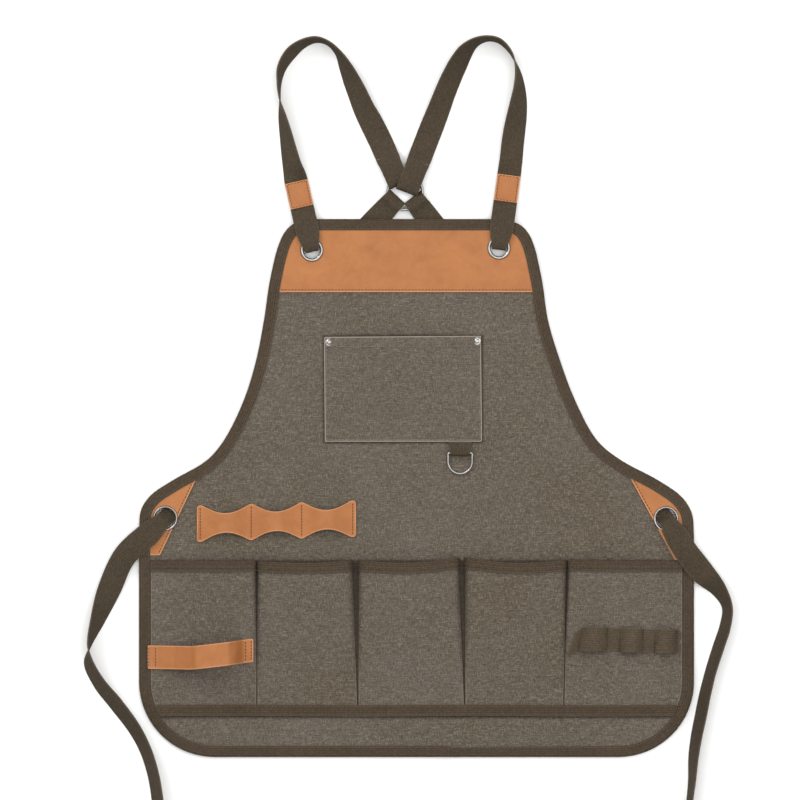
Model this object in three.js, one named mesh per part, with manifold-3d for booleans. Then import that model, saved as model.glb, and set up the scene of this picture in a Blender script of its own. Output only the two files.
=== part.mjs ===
// A gardening apron, laid flat on its back face with its straps and ties spread out.
// Millimetres, +Z up. The wearer's side lies on the floor, the bib points to +Y,
// and left and right are the viewer's.

import * as THREE from 'three';
import { mergeVertices } from 'three/addons/utils/BufferGeometryUtils.js';
import Module from 'manifold-3d';

const wasm = await Module();
wasm.setup();

// Overall cut of the apron
const APRON_WIDTH = 588;
const APRON_LENGTH = 570;
const HEM_CORNER_RADIUS = 80;

// Thicknesses of the materials, and the clearance between stitched layers
const CANVAS = 1.2;
const TAPE = 1.0;
const LEATHER = 1.4;
const WEBBING = 1.5;
const GAP = 0.25;

// Tape and webbing widths
const BINDING_WIDTH = 12;
const MOUTH_TAPE_WIDTH = 12;
const BASE_TAPE_WIDTH = 12;
const STRAP_WIDTH = 25;

// Metal fittings
const CHEST_EYELET_BORE = 17.5;
const CHEST_EYELET_RIM = 25;
const SIDE_EYELET_BORE = 21;
const SIDE_EYELET_RIM = 27;
const EYELET_WALL = 0.8;
const EYELET_CROWN = 1.4;
const CROSS_RING_DIAMETER = 40;
const CROSS_RING_WIRE = 3;
const D_RING_WIRE = 2.5;
const D_RING_DEPTH = 22;
const RIVET_DIAMETER = 8.5;
const RIVET_POST = 3;
const RIVET_CROWN = 1.3;

// Pocket row
const POCKET_ROW_HEIGHT = 207;
const BASE_TAPE_HEIGHT = 49.5;
const POCKET_DEPTH = 12;
const END_POCKET_DEPTH = 8;
const MOUTH_SPACING = 4.4;
const BASE_SPACING = 1;

// Chest pocket and the ring tab under it
const CHEST_POCKET_PUFF = 5.6;
const TAB_FOLD_WIDTH = 21.5;
const TAB_LENGTH = 14.5;

// Loops
const LOOP_STRIP_ARCH = 8;
const HANDLE_LOOP_WIDTH = 25;
const HANDLE_LOOP_ARCH = 27;
const LOOP_BAND_WIDTH = 25;
const LOOP_BAND_ARCH = 9;

// Keeper patch on each shoulder strap, and the sewn-back length at the cross ring
const KEEPER_LENGTH = 29;
const KEEPER_ABOVE_BIB = { left: 12, right: 18 };
const SEWN_BACK = 34;

const MATERIALS = {
  canvas: { color: 0x77715f, roughness: 0.95, metalness: 0 },
  tape: { color: 0x4c463a, roughness: 0.9, metalness: 0 },
  webbing: { color: 0x4a4438, roughness: 0.9, metalness: 0 },
  leather: { color: 0xc6844f, roughness: 0.6, metalness: 0 },
  metal: { color: 0xb8b8b6, roughness: 0.3, metalness: 1 },
};

// Places as shares: across is a share of half the width, up a share of the length
const HALF = APRON_WIDTH / 2;
const inX = (across) => across * HALF;
const inY = (up) => up * APRON_LENGTH;
const spot = ({ across, up }) => new THREE.Vector2(inX(across), inY(up));

// Armhole edges, from the bib's top corner down to the straight side of the skirt
const ARMHOLE_LEFT = [
  { across: -0.42, up: 1.0 },
  { across: -0.467, up: 0.981 },
  { across: -0.495, up: 0.955 },
  { across: -0.528, up: 0.887 },
  { across: -0.55, up: 0.812 },
  { across: -0.578, up: 0.738 },
  { across: -0.622, up: 0.664 },
  { across: -0.694, up: 0.589 },
  { across: -0.755, up: 0.552 },
  { across: -0.877, up: 0.515 },
  { across: -0.957, up: 0.487 },
  { across: -0.993, up: 0.459 },
  { across: -1.0, up: 0.422 },
];
const ARMHOLE_RIGHT = [
  { across: 0.319, up: 1.0 },
  { across: 0.38, up: 0.987 },
  { across: 0.416, up: 0.961 },
  { across: 0.452, up: 0.887 },
  { across: 0.474, up: 0.812 },
  { across: 0.517, up: 0.738 },
  { across: 0.571, up: 0.664 },
  { across: 0.65, up: 0.589 },
  { across: 0.737, up: 0.552 },
  { across: 0.87, up: 0.515 },
  { across: 0.957, up: 0.483 },
  { across: 0.993, up: 0.452 },
  { across: 1.0, up: 0.411 },
];

// How far the straps lying under the bib lift it, in layers of webbing
const LIFT = [
  { up: -0.05, layers: 0 },
  { up: 0.217, layers: 0 },
  { up: 0.255, layers: 0.08 },
  { up: 0.292, layers: 0.3 },
  { up: 0.329, layers: 0.6 },
  { up: 0.366, layers: 0.88 },
  { up: 0.394, layers: 1 },
  { up: 0.79, layers: 1 },
  { up: 0.816, layers: 1.1 },
  { up: 0.842, layers: 1.5 },
  { up: 0.868, layers: 1.9 },
  { up: 0.894, layers: 2 },
  { up: 1.05, layers: 2 },
];

const CHEST_EYELETS = {
  left: { across: -0.377, up: 0.942 },
  right: { across: 0.297, up: 0.946 },
};
const SIDE_EYELETS = {
  left: { across: -0.905, up: 0.444 },
  right: { across: 0.899, up: 0.443 },
};
const CHEST_BAND_FOOT = 0.864;
const SIDE_PATCHES = {
  left: { tip: { across: -0.795, up: 0.515 }, foot: { across: -0.924, up: 0.375 } },
  right: { tip: { across: 0.773, up: 0.516 }, foot: { across: 0.931, up: 0.366 } },
};

// Chest pocket corners
const CHEST_POCKET = {
  topLeft: { across: -0.333, up: 0.781 },
  topRight: { across: 0.232, up: 0.783 },
  footRight: { across: 0.236, up: 0.586 },
  footLeft: { across: -0.33, up: 0.586 },
};
const CHEST_POCKET_ACROSS = [
  { share: 0, rise: 0 },
  { share: 0.065, rise: 0 },
  { share: 0.16, rise: 0.55 },
  { share: 0.32, rise: 0.92 },
  { share: 0.5, rise: 1 },
  { share: 0.68, rise: 0.92 },
  { share: 0.84, rise: 0.55 },
  { share: 0.935, rise: 0 },
  { share: 1, rise: 0 },
];
const CHEST_POCKET_DOWN = [
  { share: 0, rise: 1 },
  { share: 0.1, rise: 1 },
  { share: 0.3, rise: 0.85 },
  { share: 0.6, rise: 0.45 },
  { share: 0.85, rise: 0.1 },
  { share: 0.95, rise: 0 },
  { share: 1, rise: 0 },
];
const RIVETS = {
  left: { across: -0.315, up: 0.771 },
  right: { across: 0.218, up: 0.773 },
};
const RING_TAB_ACROSS = 0.157;

// Seams between the tool pockets, leaning a little from mouth to base
const DIVIDERS = [
  { mouth: -0.575, base: -0.575 },
  { mouth: -0.22, base: -0.211 },
  { mouth: 0.163, base: 0.174 },
  { mouth: 0.542, base: 0.53 },
];

// Section of a pocket from its seam towards its middle, in shares of the pocket's depth
const SEAM_SIDE = [
  { inward: 0, rise: 0 },
  { inward: 0.08, rise: 0.45 },
  { inward: 0.22, rise: 0.78 },
  { inward: 0.5, rise: 0.96 },
  { inward: 1, rise: 1 },
  { inward: 2, rise: 0.96 },
];
// The same where an end pocket runs out flat into the side binding
const BINDING_SIDE = [
  { inward: 0, rise: 0.16 },
  { inward: 1, rise: 0.18 },
  { inward: 2.5, rise: 0.38 },
  { inward: 4.5, rise: 0.8 },
  { inward: 6, rise: 0.96 },
];
const POCKET_MIDDLE_RISE = 0.9;
const POCKET_DOWN = [
  { share: 0, rise: 1 },
  { share: 0.09, rise: 0.97 },
  { share: 0.26, rise: 0.8 },
  { share: 0.5, rise: 0.5 },
  { share: 0.74, rise: 0.22 },
  { share: 0.92, rise: 0 },
  { share: 1, rise: 0 },
];

// Scalloped loop strip: its stitched ends and how far the middle line climbs
const LOOP_STRIP = {
  left: { across: -0.777, up: 0.434 },
  right: { across: -0.232, up: 0.443 },
  loops: 3,
  endShare: 0.026,
  halfWidth: 0.034,
  waist: 0.54,
};

// Handle loop: where it is sewn down, and its form between, in shares of its length and arch
const HANDLE_LOOP = {
  left: { across: -0.968, up: 0.186 },
  right: { across: -0.588, up: 0.199 },
};
const HANDLE_LOOP_FORM = [
  { along: 0, rise: 0 },
  { along: 0.1, rise: 0 },
  { along: 0.26, rise: 0.22 },
  { along: 0.41, rise: 0.62 },
  { along: 0.46, rise: 0.84 },
  { along: 0.55, rise: 0.97 },
  { along: 0.66, rise: 1 },
  { along: 0.77, rise: 0.9 },
  { along: 0.84, rise: 0.6 },
  { along: 0.885, rise: 0.12 },
  { along: 0.91, rise: 0 },
  { along: 1, rise: 0 },
];

// Loop band on the far right pocket: each loop by its middle and its half width
const LOOP_BAND = {
  left: { across: 0.556, up: 0.221 },
  right: { across: 0.948, up: 0.215 },
  loops: [
    { middle: 0.21, half: 0.125 },
    { middle: 0.555, half: 0.105 },
    { middle: 0.872, half: 0.098 },
  ],
};

// Shoulder straps between keeper and cross ring: the middle line laid on the floor,
// and how far the strap is rolled about it, in degrees from lying face up
const SHOULDER_ROUTE = {
  left: [
    { across: -0.441, up: 1.087, roll: 28 },
    { across: -0.449, up: 1.102, roll: 40 },
    { across: -0.461, up: 1.132, roll: 52 },
    { across: -0.472, up: 1.162, roll: 62 },
    { across: -0.483, up: 1.191, roll: 73 },
    { across: -0.492, up: 1.221, roll: 90 },
    { across: -0.495, up: 1.251, roll: 98 },
    { across: -0.485, up: 1.281, roll: 110 },
    { across: -0.45, up: 1.309, roll: 118 },
    { across: -0.407, up: 1.326, roll: 111 },
    { across: -0.36, up: 1.333, roll: 106 },
    { across: -0.317, up: 1.326, roll: 107 },
    { across: -0.283, up: 1.309, roll: 112 },
    { across: -0.256, up: 1.283, roll: 121 },
    { across: -0.234, up: 1.258, roll: 130 },
    { across: -0.213, up: 1.234, roll: 142 },
    { across: -0.19, up: 1.206, roll: 156 },
    { across: -0.161, up: 1.177, roll: 170 },
  ],
  right: [
    { across: 0.337, up: 1.095, roll: 12 },
    { across: 0.342, up: 1.117, roll: 18 },
    { across: 0.347, up: 1.143, roll: 21 },
    { across: 0.354, up: 1.169, roll: 26 },
    { across: 0.362, up: 1.195, roll: 36 },
    { across: 0.368, up: 1.221, roll: 49 },
    { across: 0.37, up: 1.247, roll: 64 },
    { across: 0.365, up: 1.273, roll: 78 },
    { across: 0.352, up: 1.296, roll: 90 },
    { across: 0.33, up: 1.316, roll: 96 },
    { across: 0.297, up: 1.331, roll: 99 },
    { across: 0.256, up: 1.335, roll: 101 },
    { across: 0.212, up: 1.328, roll: 110 },
    { across: 0.178, up: 1.312, roll: 127 },
    { across: 0.153, up: 1.291, roll: 139 },
    { across: 0.128, up: 1.265, roll: 146 },
    { across: 0.104, up: 1.236, roll: 151 },
    { across: 0.082, up: 1.206, roll: 158 },
    { across: 0.06, up: 1.177, roll: 168 },
  ],
};

// Where each strap folds round the cross ring, and the way it leads away in degrees
const CROSS_RING = { across: -0.041, up: 1.05 };
const RING_FOLDS = {
  shoulderLeft: { across: -0.06, up: 1.066, away: 113.5 },
  shoulderRight: { across: -0.039, up: 1.052, away: 69 },
  waistLeft: { across: -0.0705, up: 1.036, away: 227 },
  waistRight: { across: -0.0115, up: 1.0352, away: 307.5 },
};
const RING_GATHER = 0.8;

// Waist straps: the stretch hidden under the bib, then the tie outside the side eyelet
const HIDDEN_ROUTE = {
  left: [
    { across: -0.289, up: 0.909 },
    { across: -0.401, up: 0.814 },
    { across: -0.503, up: 0.716 },
    { across: -0.585, up: 0.635 },
    { across: -0.655, up: 0.57 },
    { across: -0.743, up: 0.515 },
  ],
  right: [
    { across: 0.212, up: 0.8765 },
    { across: 0.345, up: 0.775 },
    { across: 0.477, up: 0.674 },
    { across: 0.607, up: 0.571 },
    { across: 0.719, up: 0.521 },
  ],
};
const TIE_ROUTE = {
  left: [
    { across: -1.05, up: 0.374, roll: 0, raised: 1 },
    { across: -1.105, up: 0.314, roll: 12, raised: 0.25 },
    { across: -1.148, up: 0.255, roll: 55, raised: 0 },
    { across: -1.178, up: 0.207, roll: 84, raised: 0 },
    { across: -1.181, up: 0.178, roll: 112, raised: 0 },
    { across: -1.144, up: 0.139, roll: 121, raised: 0 },
    { across: -1.083, up: 0.1, roll: 125, raised: 0 },
    { across: -1.014, up: 0.052, roll: 122, raised: 0 },
    { across: -0.975, up: 0.013, roll: 119, raised: 0 },
    { across: -0.947, up: -0.033, roll: 118, raised: 0 },
    { across: -0.932, up: -0.08, roll: 118, raised: 0 },
    { across: -0.925, up: -0.113, roll: 118, raised: 0 },
  ],
  right: [
    { across: 0.966, up: 0.386, roll: 0, raised: 1.72 },
    { across: 1.032, up: 0.342, roll: 8, raised: 1.12 },
    { across: 1.089, up: 0.311, roll: 52, raised: 0 },
    { across: 1.119, up: 0.279, roll: 67, raised: 0 },
    { across: 1.112, up: 0.244, roll: 66, raised: 0 },
    { across: 1.087, up: 0.204, roll: 65, raised: 0 },
    { across: 1.06, up: 0.16, roll: 66, raised: 0 },
    { across: 1.04, up: 0.119, roll: 65, raised: 0 },
    { across: 1.024, up: 0.078, roll: 64, raised: 0 },
    { across: 1.007, up: 0.035, roll: 66, raised: 0 },
    { across: 0.997, up: -0.002, roll: 69, raised: 0 },
    { across: 0.992, up: -0.043, roll: 75, raised: 0 },
    { across: 0.984, up: -0.08, roll: 78, raised: 0 },
    { across: 0.978, up: -0.113, roll: 78, raised: 0 },
  ],
};

// Heights of the layers above the lifted floor
const LAYER = WEBBING + GAP;
const PANEL_FOOT = TAPE + GAP;
const PANEL_FACE = PANEL_FOOT + CANVAS;
const SEAT = PANEL_FACE + GAP;
const BINDING_TOP = PANEL_FACE + GAP + TAPE;
const LEATHER_FACE = SEAT + LEATHER;
const EYELET_TOP = LEATHER_FACE + GAP + EYELET_CROWN;
const EYELET_FOOT = PANEL_FOOT - GAP - EYELET_WALL;

// Straight-line reading of a table of shares
function read(table, key, value, at) {
  const last = table.length - 1;
  if (at <= table[0][key]) return table[0][value];
  for (let i = 0; i < last; i += 1) {
    const from = table[i];
    const to = table[i + 1];
    if (at <= to[key]) {
      const share = (at - from[key]) / (to[key] - from[key]);
      return from[value] + share * (to[value] - from[value]);
    }
  }
  return table[last][value];
}

const liftAt = (y) => LAYER * read(LIFT, 'up', 'layers', y / APRON_LENGTH);

// A closed body from its corners and faces, turned so that its faces point out
function body(points, faces) {
  const geometry = new THREE.BufferGeometry();
  const flat = points.flatMap((p) => [p.x, p.y, p.z]);
  let volume = 0;
  const cross = new THREE.Vector3();
  for (const [a, b, c] of faces) {
    volume += cross.crossVectors(points[b], points[c]).dot(points[a]);
  }
  const index = faces.flatMap(([a, b, c]) => (volume > 0 ? [a, b, c] : [a, c, b]));
  geometry.setAttribute('position', new THREE.Float32BufferAttribute(flat, 3));
  geometry.setIndex(index);
  geometry.computeVertexNormals();
  return geometry;
}

function toManifold(geometry) {
  const bare = geometry.clone();
  bare.deleteAttribute('normal');
  bare.deleteAttribute('uv');
  const merged = mergeVertices(bare, 1e-4);
  return new wasm.Manifold(new wasm.Mesh({
    numProp: 3,
    vertProperties: new Float32Array(merged.attributes.position.array),
    triVerts: new Uint32Array(merged.index.array),
  }));
}

function fromManifold(solid) {
  const mesh = solid.getMesh();
  const geometry = new THREE.BufferGeometry();
  geometry.setAttribute('position', new THREE.BufferAttribute(mesh.vertProperties, 3));
  geometry.setIndex(new THREE.BufferAttribute(mesh.triVerts, 1));
  geometry.computeVertexNormals();
  return geometry;
}

// Rings of equal numbers of corners joined one after the other, capped or closed on itself
function loft(rings, closed = false) {
  const count = rings[0].length;
  const points = rings.flat();
  const faces = [];
  const spans = closed ? rings.length : rings.length - 1;
  for (let i = 0; i < spans; i += 1) {
    const here = i * count;
    const next = ((i + 1) % rings.length) * count;
    for (let j = 0; j < count; j += 1) {
      const k = (j + 1) % count;
      faces.push([here + j, here + k, next + k], [here + j, next + k, next + j]);
    }
  }
  if (!closed) {
    const cap = (ring, flip) => {
      const centre = ring[0];
      const normal = new THREE.Vector3();
      for (let j = 1; j + 1 < ring.length; j += 1) {
        normal.add(new THREE.Vector3().crossVectors(
          ring[j].clone().sub(centre),
          ring[j + 1].clone().sub(centre),
        ));
      }
      const side = new THREE.Vector3(0, 0, 1);
      if (Math.abs(normal.clone().normalize().z) > 0.9) side.set(0, 1, 0);
      const right = new THREE.Vector3().crossVectors(side, normal).normalize();
      const top = new THREE.Vector3().crossVectors(normal, right).normalize();
      const flatRing = ring.map((p) => new THREE.Vector2(p.dot(right), p.dot(top)));
      const offset = flip ? (rings.length - 1) * count : 0;
      for (const [a, b, c] of THREE.ShapeUtils.triangulateShape(flatRing, [])) {
        faces.push(flip ? [offset + a, offset + b, offset + c] : [offset + a, offset + c, offset + b]);
      }
    };
    cap(rings[0], false);
    cap(rings[rings.length - 1], true);
  }
  return body(points, faces);
}

// A curved wall: a grid of points on its middle surface, thickened both ways
function wall(grid, thickness) {
  const rows = grid.length;
  const columns = grid[0].length;
  const clampRow = (i) => Math.min(rows - 1, Math.max(0, i));
  const clampColumn = (j) => Math.min(columns - 1, Math.max(0, j));
  const normals = wallNormals(grid);
  const points = [];
  for (const side of [-0.5, 0.5]) {
    for (let i = 0; i < rows; i += 1) {
      for (let j = 0; j < columns; j += 1) {
        points.push(grid[i][j].clone().addScaledVector(normals[i][j], side * thickness));
      }
    }
  }
  const low = (i, j) => clampRow(i) * columns + clampColumn(j);
  const high = (i, j) => rows * columns + low(i, j);
  const faces = [];
  for (let i = 0; i + 1 < rows; i += 1) {
    for (let j = 0; j + 1 < columns; j += 1) {
      faces.push([low(i, j), low(i + 1, j + 1), low(i, j + 1)]);
      faces.push([low(i, j), low(i + 1, j), low(i + 1, j + 1)]);
      faces.push([high(i, j), high(i, j + 1), high(i + 1, j + 1)]);
      faces.push([high(i, j), high(i + 1, j + 1), high(i + 1, j)]);
    }
  }
  for (let j = 0; j + 1 < columns; j += 1) {
    faces.push([low(0, j), low(0, j + 1), high(0, j + 1)], [low(0, j), high(0, j + 1), high(0, j)]);
    const end = rows - 1;
    faces.push([low(end, j), high(end, j + 1), low(end, j + 1)]);
    faces.push([low(end, j), high(end, j), high(end, j + 1)]);
  }
  for (let i = 0; i + 1 < rows; i += 1) {
    faces.push([low(i, 0), high(i + 1, 0), low(i + 1, 0)], [low(i, 0), high(i, 0), high(i + 1, 0)]);
    const end = columns - 1;
    faces.push([low(i, end), low(i + 1, end), high(i + 1, end)]);
    faces.push([low(i, end), high(i + 1, end), high(i, end)]);
  }
  return body(points, faces);
}

function wallNormals(grid) {
  const rows = grid.length;
  const columns = grid[0].length;
  return grid.map((row, i) => row.map((point, j) => {
    const down = grid[Math.min(rows - 1, i + 1)][j].clone().sub(grid[Math.max(0, i - 1)][j]);
    const along = row[Math.min(columns - 1, j + 1)].clone().sub(row[Math.max(0, j - 1)]);
    const normal = along.cross(down).normalize();
    return normal.z < 0 ? normal.negate() : normal;
  }));
}

// Outline of the apron, counter-clockwise from the hem's right corner
function apronOutline() {
  const r = HEM_CORNER_RADIUS;
  const corner = (x, from) => {
    const points = [];
    const steps = 9;
    for (let i = 0; i <= steps; i += 1) {
      const angle = from + (Math.PI / 2) * (i / steps);
      points.push(new THREE.Vector2(x + r * Math.cos(angle), r + r * Math.sin(angle)));
    }
    return points;
  };
  const side = (across, table) => {
    const top = table[table.length - 1].up;
    const ups = LIFT.map((row) => row.up).filter((up) => inY(up) > r + 2 && up < top - 0.01);
    return ups.map((up) => new THREE.Vector2(inX(across), inY(up)));
  };
  const armhole = (table) => {
    const curve = new THREE.CatmullRomCurve3(
      table.map((row) => new THREE.Vector3(inX(row.across), inY(row.up), 0)),
      false,
      'centripetal',
    );
    return curve.getPoints(2 * (table.length - 1)).map((p) => new THREE.Vector2(p.x, p.y));
  };
  return [
    ...corner(HALF - r, -Math.PI / 2),
    ...side(1, ARMHOLE_RIGHT),
    ...armhole(ARMHOLE_RIGHT).reverse(),
    ...armhole(ARMHOLE_LEFT),
    ...side(-1, ARMHOLE_LEFT).reverse(),
    ...corner(r - HALF, Math.PI),
  ];
}

// Unit vectors pointing into a counter-clockwise outline
function inwardNormals(outline) {
  const count = outline.length;
  return outline.map((point, i) => {
    const before = point.clone().sub(outline[(i + count - 1) % count]).normalize();
    const after = outline[(i + 1) % count].clone().sub(point).normalize();
    const tangent = before.clone().add(after).normalize();
    const miter = 1 / Math.max(0.5, tangent.dot(after));
    return new THREE.Vector2(-tangent.y, tangent.x).multiplyScalar(miter);
  });
}

function inset(outline, distance) {
  const normals = inwardNormals(outline);
  return outline.map((point, i) => point.clone().addScaledVector(normals[i], distance));
}

// Upright prism over an outline, tall enough to cut any layer
function prism(outline) {
  const shape = new THREE.Shape(outline);
  const depth = 200;
  const geometry = new THREE.ExtrudeGeometry(shape, { depth, bevelEnabled: false, steps: 1 });
  geometry.translate(0, 0, -depth / 2);
  return toManifold(geometry);
}

// A layer that follows the lifted floor, wide enough for the whole apron
function layer(foot, thickness) {
  const reach = HALF + BINDING_WIDTH;
  const rings = LIFT.map(({ up }) => {
    const y = inY(up);
    const low = liftAt(y) + foot;
    return [
      new THREE.Vector3(-reach, y, low),
      new THREE.Vector3(reach, y, low),
      new THREE.Vector3(reach, y, low + thickness),
      new THREE.Vector3(-reach, y, low + thickness),
    ];
  });
  return toManifold(loft(rings));
}

function post(place, radius) {
  const geometry = new THREE.CylinderGeometry(radius, radius, 100, 24);
  geometry.rotateX(Math.PI / 2);
  geometry.translate(place.x, place.y, 0);
  return toManifold(geometry);
}

// A flat sewn piece: a layer cut to one or more outlines, with round holes
function flatPiece(foot, thickness, outlines, holes = []) {
  let piece = layer(foot, thickness);
  for (const outline of outlines) piece = piece.intersect(prism(outline));
  for (const hole of holes) piece = piece.subtract(post(hole.place, hole.radius));
  return fromManifold(piece);
}

const boreHole = (place, bore) => ({
  place: spot(place),
  radius: bore / 2 + EYELET_WALL + GAP,
});
const CHEST_HOLES = Object.values(CHEST_EYELETS).map((p) => boreHole(p, CHEST_EYELET_BORE));
const SIDE_HOLES = Object.values(SIDE_EYELETS).map((p) => boreHole(p, SIDE_EYELET_BORE));
const RIVET_HOLES = Object.values(RIVETS).map((p) => ({
  place: spot(p),
  radius: RIVET_POST / 2 + GAP,
}));

const OUTLINE = apronOutline();
const INSIDE_BINDING = inset(OUTLINE, BINDING_WIDTH + GAP);

function mainPanel() {
  const edge = inset(OUTLINE, TAPE + GAP);
  const holes = [...CHEST_HOLES, ...SIDE_HOLES, ...RIVET_HOLES];
  return flatPiece(PANEL_FOOT, CANVAS, [edge], holes);
}

// Folded tape round the edge: a U section swept along the outline
function edgeBinding() {
  const normals = inwardNormals(OUTLINE);
  const section = [
    { inward: 0, height: TAPE },
    { inward: TAPE, height: 0 },
    { inward: BINDING_WIDTH, height: 0 },
    { inward: BINDING_WIDTH, height: TAPE },
    { inward: TAPE, height: TAPE },
    { inward: TAPE, height: BINDING_TOP - TAPE },
    { inward: BINDING_WIDTH, height: BINDING_TOP - TAPE },
    { inward: BINDING_WIDTH, height: BINDING_TOP },
    { inward: TAPE, height: BINDING_TOP },
    { inward: 0, height: BINDING_TOP - TAPE },
  ];
  const rings = OUTLINE.map((point, i) => section.map(({ inward, height }) => {
    const p = point.clone().addScaledVector(normals[i], inward);
    return new THREE.Vector3(p.x, p.y, liftAt(p.y) + height);
  }));
  return loft(rings, true);
}

function chestBand() {
  const foot = inY(CHEST_BAND_FOOT);
  const band = [
    new THREE.Vector2(-HALF, foot),
    new THREE.Vector2(HALF, foot),
    new THREE.Vector2(HALF, APRON_LENGTH),
    new THREE.Vector2(-HALF, APRON_LENGTH),
  ];
  return flatPiece(SEAT, LEATHER, [INSIDE_BINDING, band], CHEST_HOLES);
}

function sidePatch({ tip, foot }) {
  const out = Math.sign(tip.across) * (HALF + BINDING_WIDTH);
  const top = spot(tip);
  const low = spot(foot);
  low.y = Math.max(low.y, POCKET_ROW_HEIGHT + TAPE + 2 * GAP);
  const corner = [
    top,
    low,
    new THREE.Vector2(out, low.y),
    new THREE.Vector2(out, top.y + BINDING_WIDTH),
    new THREE.Vector2(top.x, top.y + BINDING_WIDTH),
  ];
  if (THREE.ShapeUtils.isClockWise(corner)) corner.reverse();
  return flatPiece(SEAT, LEATHER, [INSIDE_BINDING, corner], SIDE_HOLES);
}

// A solid of revolution about +Z from a closed section of radius and height
function turned(section, sides) {
  const profile = section.map(([radius, height]) => new THREE.Vector2(radius, height));
  profile.push(profile[0].clone());
  const geometry = new THREE.LatheGeometry(profile, sides);
  geometry.rotateX(Math.PI / 2);
  return body(...weld(geometry));
}

// Corners and faces of a geometry after merging, without faces that collapsed
function weld(geometry) {
  geometry.deleteAttribute('normal');
  geometry.deleteAttribute('uv');
  const merged = mergeVertices(geometry, 1e-4);
  const position = merged.attributes.position;
  const points = [];
  for (let i = 0; i < position.count; i += 1) {
    points.push(new THREE.Vector3().fromBufferAttribute(position, i));
  }
  const index = merged.index.array;
  const faces = [];
  for (let i = 0; i < index.length; i += 3) {
    const [a, b, c] = [index[i], index[i + 1], index[i + 2]];
    if (a !== b && b !== c && c !== a) faces.push([a, b, c]);
  }
  return [points, faces];
}

function eyelet(place, bore, rim) {
  const inner = bore / 2;
  const outer = inner + EYELET_WALL;
  const edge = rim / 2;
  const under = LEATHER_FACE + GAP;
  const section = [
    [inner, EYELET_FOOT + EYELET_WALL / 2],
    [inner + EYELET_WALL / 2, EYELET_FOOT],
    [edge, EYELET_FOOT],
    [edge, EYELET_FOOT + EYELET_WALL],
    [outer, EYELET_FOOT + EYELET_WALL],
    [outer, under],
    [edge, under],
    [(edge + outer) / 2, EYELET_TOP],
    [inner, under + EYELET_CROWN / 2],
  ];
  const geometry = turned(section, 18);
  const { x, y } = spot(place);
  return geometry.translate(x, y, liftAt(y));
}

// Chest pocket: a wall sewn on three sides, puffed at its mouth
function chestPocket() {
  const { topLeft, topRight, footRight, footLeft } = CHEST_POCKET;
  const grid = CHEST_POCKET_DOWN.map((down) => {
    const left = spot(topLeft).lerp(spot(footLeft), down.share);
    const right = spot(topRight).lerp(spot(footRight), down.share);
    return CHEST_POCKET_ACROSS.map((across) => {
      const p = left.clone().lerp(right, across.share);
      const puff = CHEST_POCKET_PUFF * across.rise * down.rise;
      return new THREE.Vector3(p.x, p.y, liftAt(p.y) + SEAT + CANVAS / 2 + puff);
    });
  });
  let piece = toManifold(wall(grid, CANVAS));
  for (const hole of RIVET_HOLES) piece = piece.subtract(post(hole.place, hole.radius));
  return fromManifold(piece);
}

function rivet(place) {
  const head = RIVET_DIAMETER / 2;
  const stem = RIVET_POST / 2;
  const face = SEAT + CANVAS + GAP;
  const section = [
    [0, EYELET_FOOT],
    [head, EYELET_FOOT],
    [head, EYELET_FOOT + EYELET_WALL],
    [stem, EYELET_FOOT + EYELET_WALL],
    [stem, face],
    [head, face],
    [head * 0.85, face + RIVET_CROWN * 0.7],
    [head * 0.4, face + RIVET_CROWN],
    [0, face + RIVET_CROWN],
  ];
  const geometry = turned(section, 12);
  const { x, y } = spot(place);
  return geometry.translate(x, y, liftAt(y));
}

// Tool pockets, as their own outline between two seams
function pocketPlan(index) {
  const first = index === 0;
  const last = index === DIVIDERS.length;
  const left = first ? null : DIVIDERS[index - 1];
  const right = last ? null : DIVIDERS[index];
  return {
    depth: first || last ? END_POCKET_DEPTH : POCKET_DEPTH,
    leftAt: (y) => (first ? -sideLimit(y) : seamEdge(left, y, 1)),
    rightAt: (y) => (last ? sideLimit(y) : seamEdge(right, y, -1)),
    leftSide: first ? BINDING_SIDE : SEAM_SIDE,
    rightSide: last ? BINDING_SIDE : SEAM_SIDE,
  };
}

const downPocket = (y) => (POCKET_ROW_HEIGHT - y) / (POCKET_ROW_HEIGHT - BASE_TAPE_HEIGHT);

// Half width inside the binding, drawn in where the hem corner curves
function sideLimit(y) {
  const clear = BINDING_WIDTH + 2 * GAP;
  const radius = HEM_CORNER_RADIUS - clear;
  const below = Math.min(radius, Math.max(0, HEM_CORNER_RADIUS - y));
  return HALF - clear - radius + Math.sqrt(radius * radius - below * below);
}

// Edge of the wall beside a seam: the walls part at the mouth and meet at the base
function seamEdge({ mouth, base }, y, side) {
  const down = downPocket(y);
  const spacing = MOUTH_SPACING + (BASE_SPACING - MOUTH_SPACING) * down;
  return inX(mouth + (base - mouth) * down) + (side * spacing) / 2;
}

// Height of a pocket's middle surface over the panel's seat
function pocketRise(plan, x, y) {
  const down = downPocket(y);
  const fromLeft = (x - plan.leftAt(y)) / plan.depth;
  const fromRight = (plan.rightAt(y) - x) / plan.depth;
  const half = (plan.rightAt(y) - plan.leftAt(y)) / 2 / plan.depth;
  const toMiddle = (table) => [...table, { inward: half, rise: POCKET_MIDDLE_RISE }];
  const nearLeft = fromLeft < half;
  const table = toMiddle(nearLeft ? plan.leftSide : plan.rightSide);
  const rise = read(table, 'inward', 'rise', nearLeft ? fromLeft : fromRight);
  return plan.depth * rise * read(POCKET_DOWN, 'share', 'rise', down);
}

function pocketPoint(plan, x, y) {
  return new THREE.Vector3(x, y, liftAt(y) + SEAT + CANVAS / 2 + pocketRise(plan, x, y));
}

function pocketRow(plan, y) {
  const left = plan.leftAt(y);
  const right = plan.rightAt(y);
  const xs = [
    ...plan.leftSide.map(({ inward }) => left + inward * plan.depth),
    (left + right) / 2,
    ...plan.rightSide.map(({ inward }) => right - inward * plan.depth).reverse(),
  ];
  return xs.map((x) => pocketPoint(plan, x, y));
}

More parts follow.
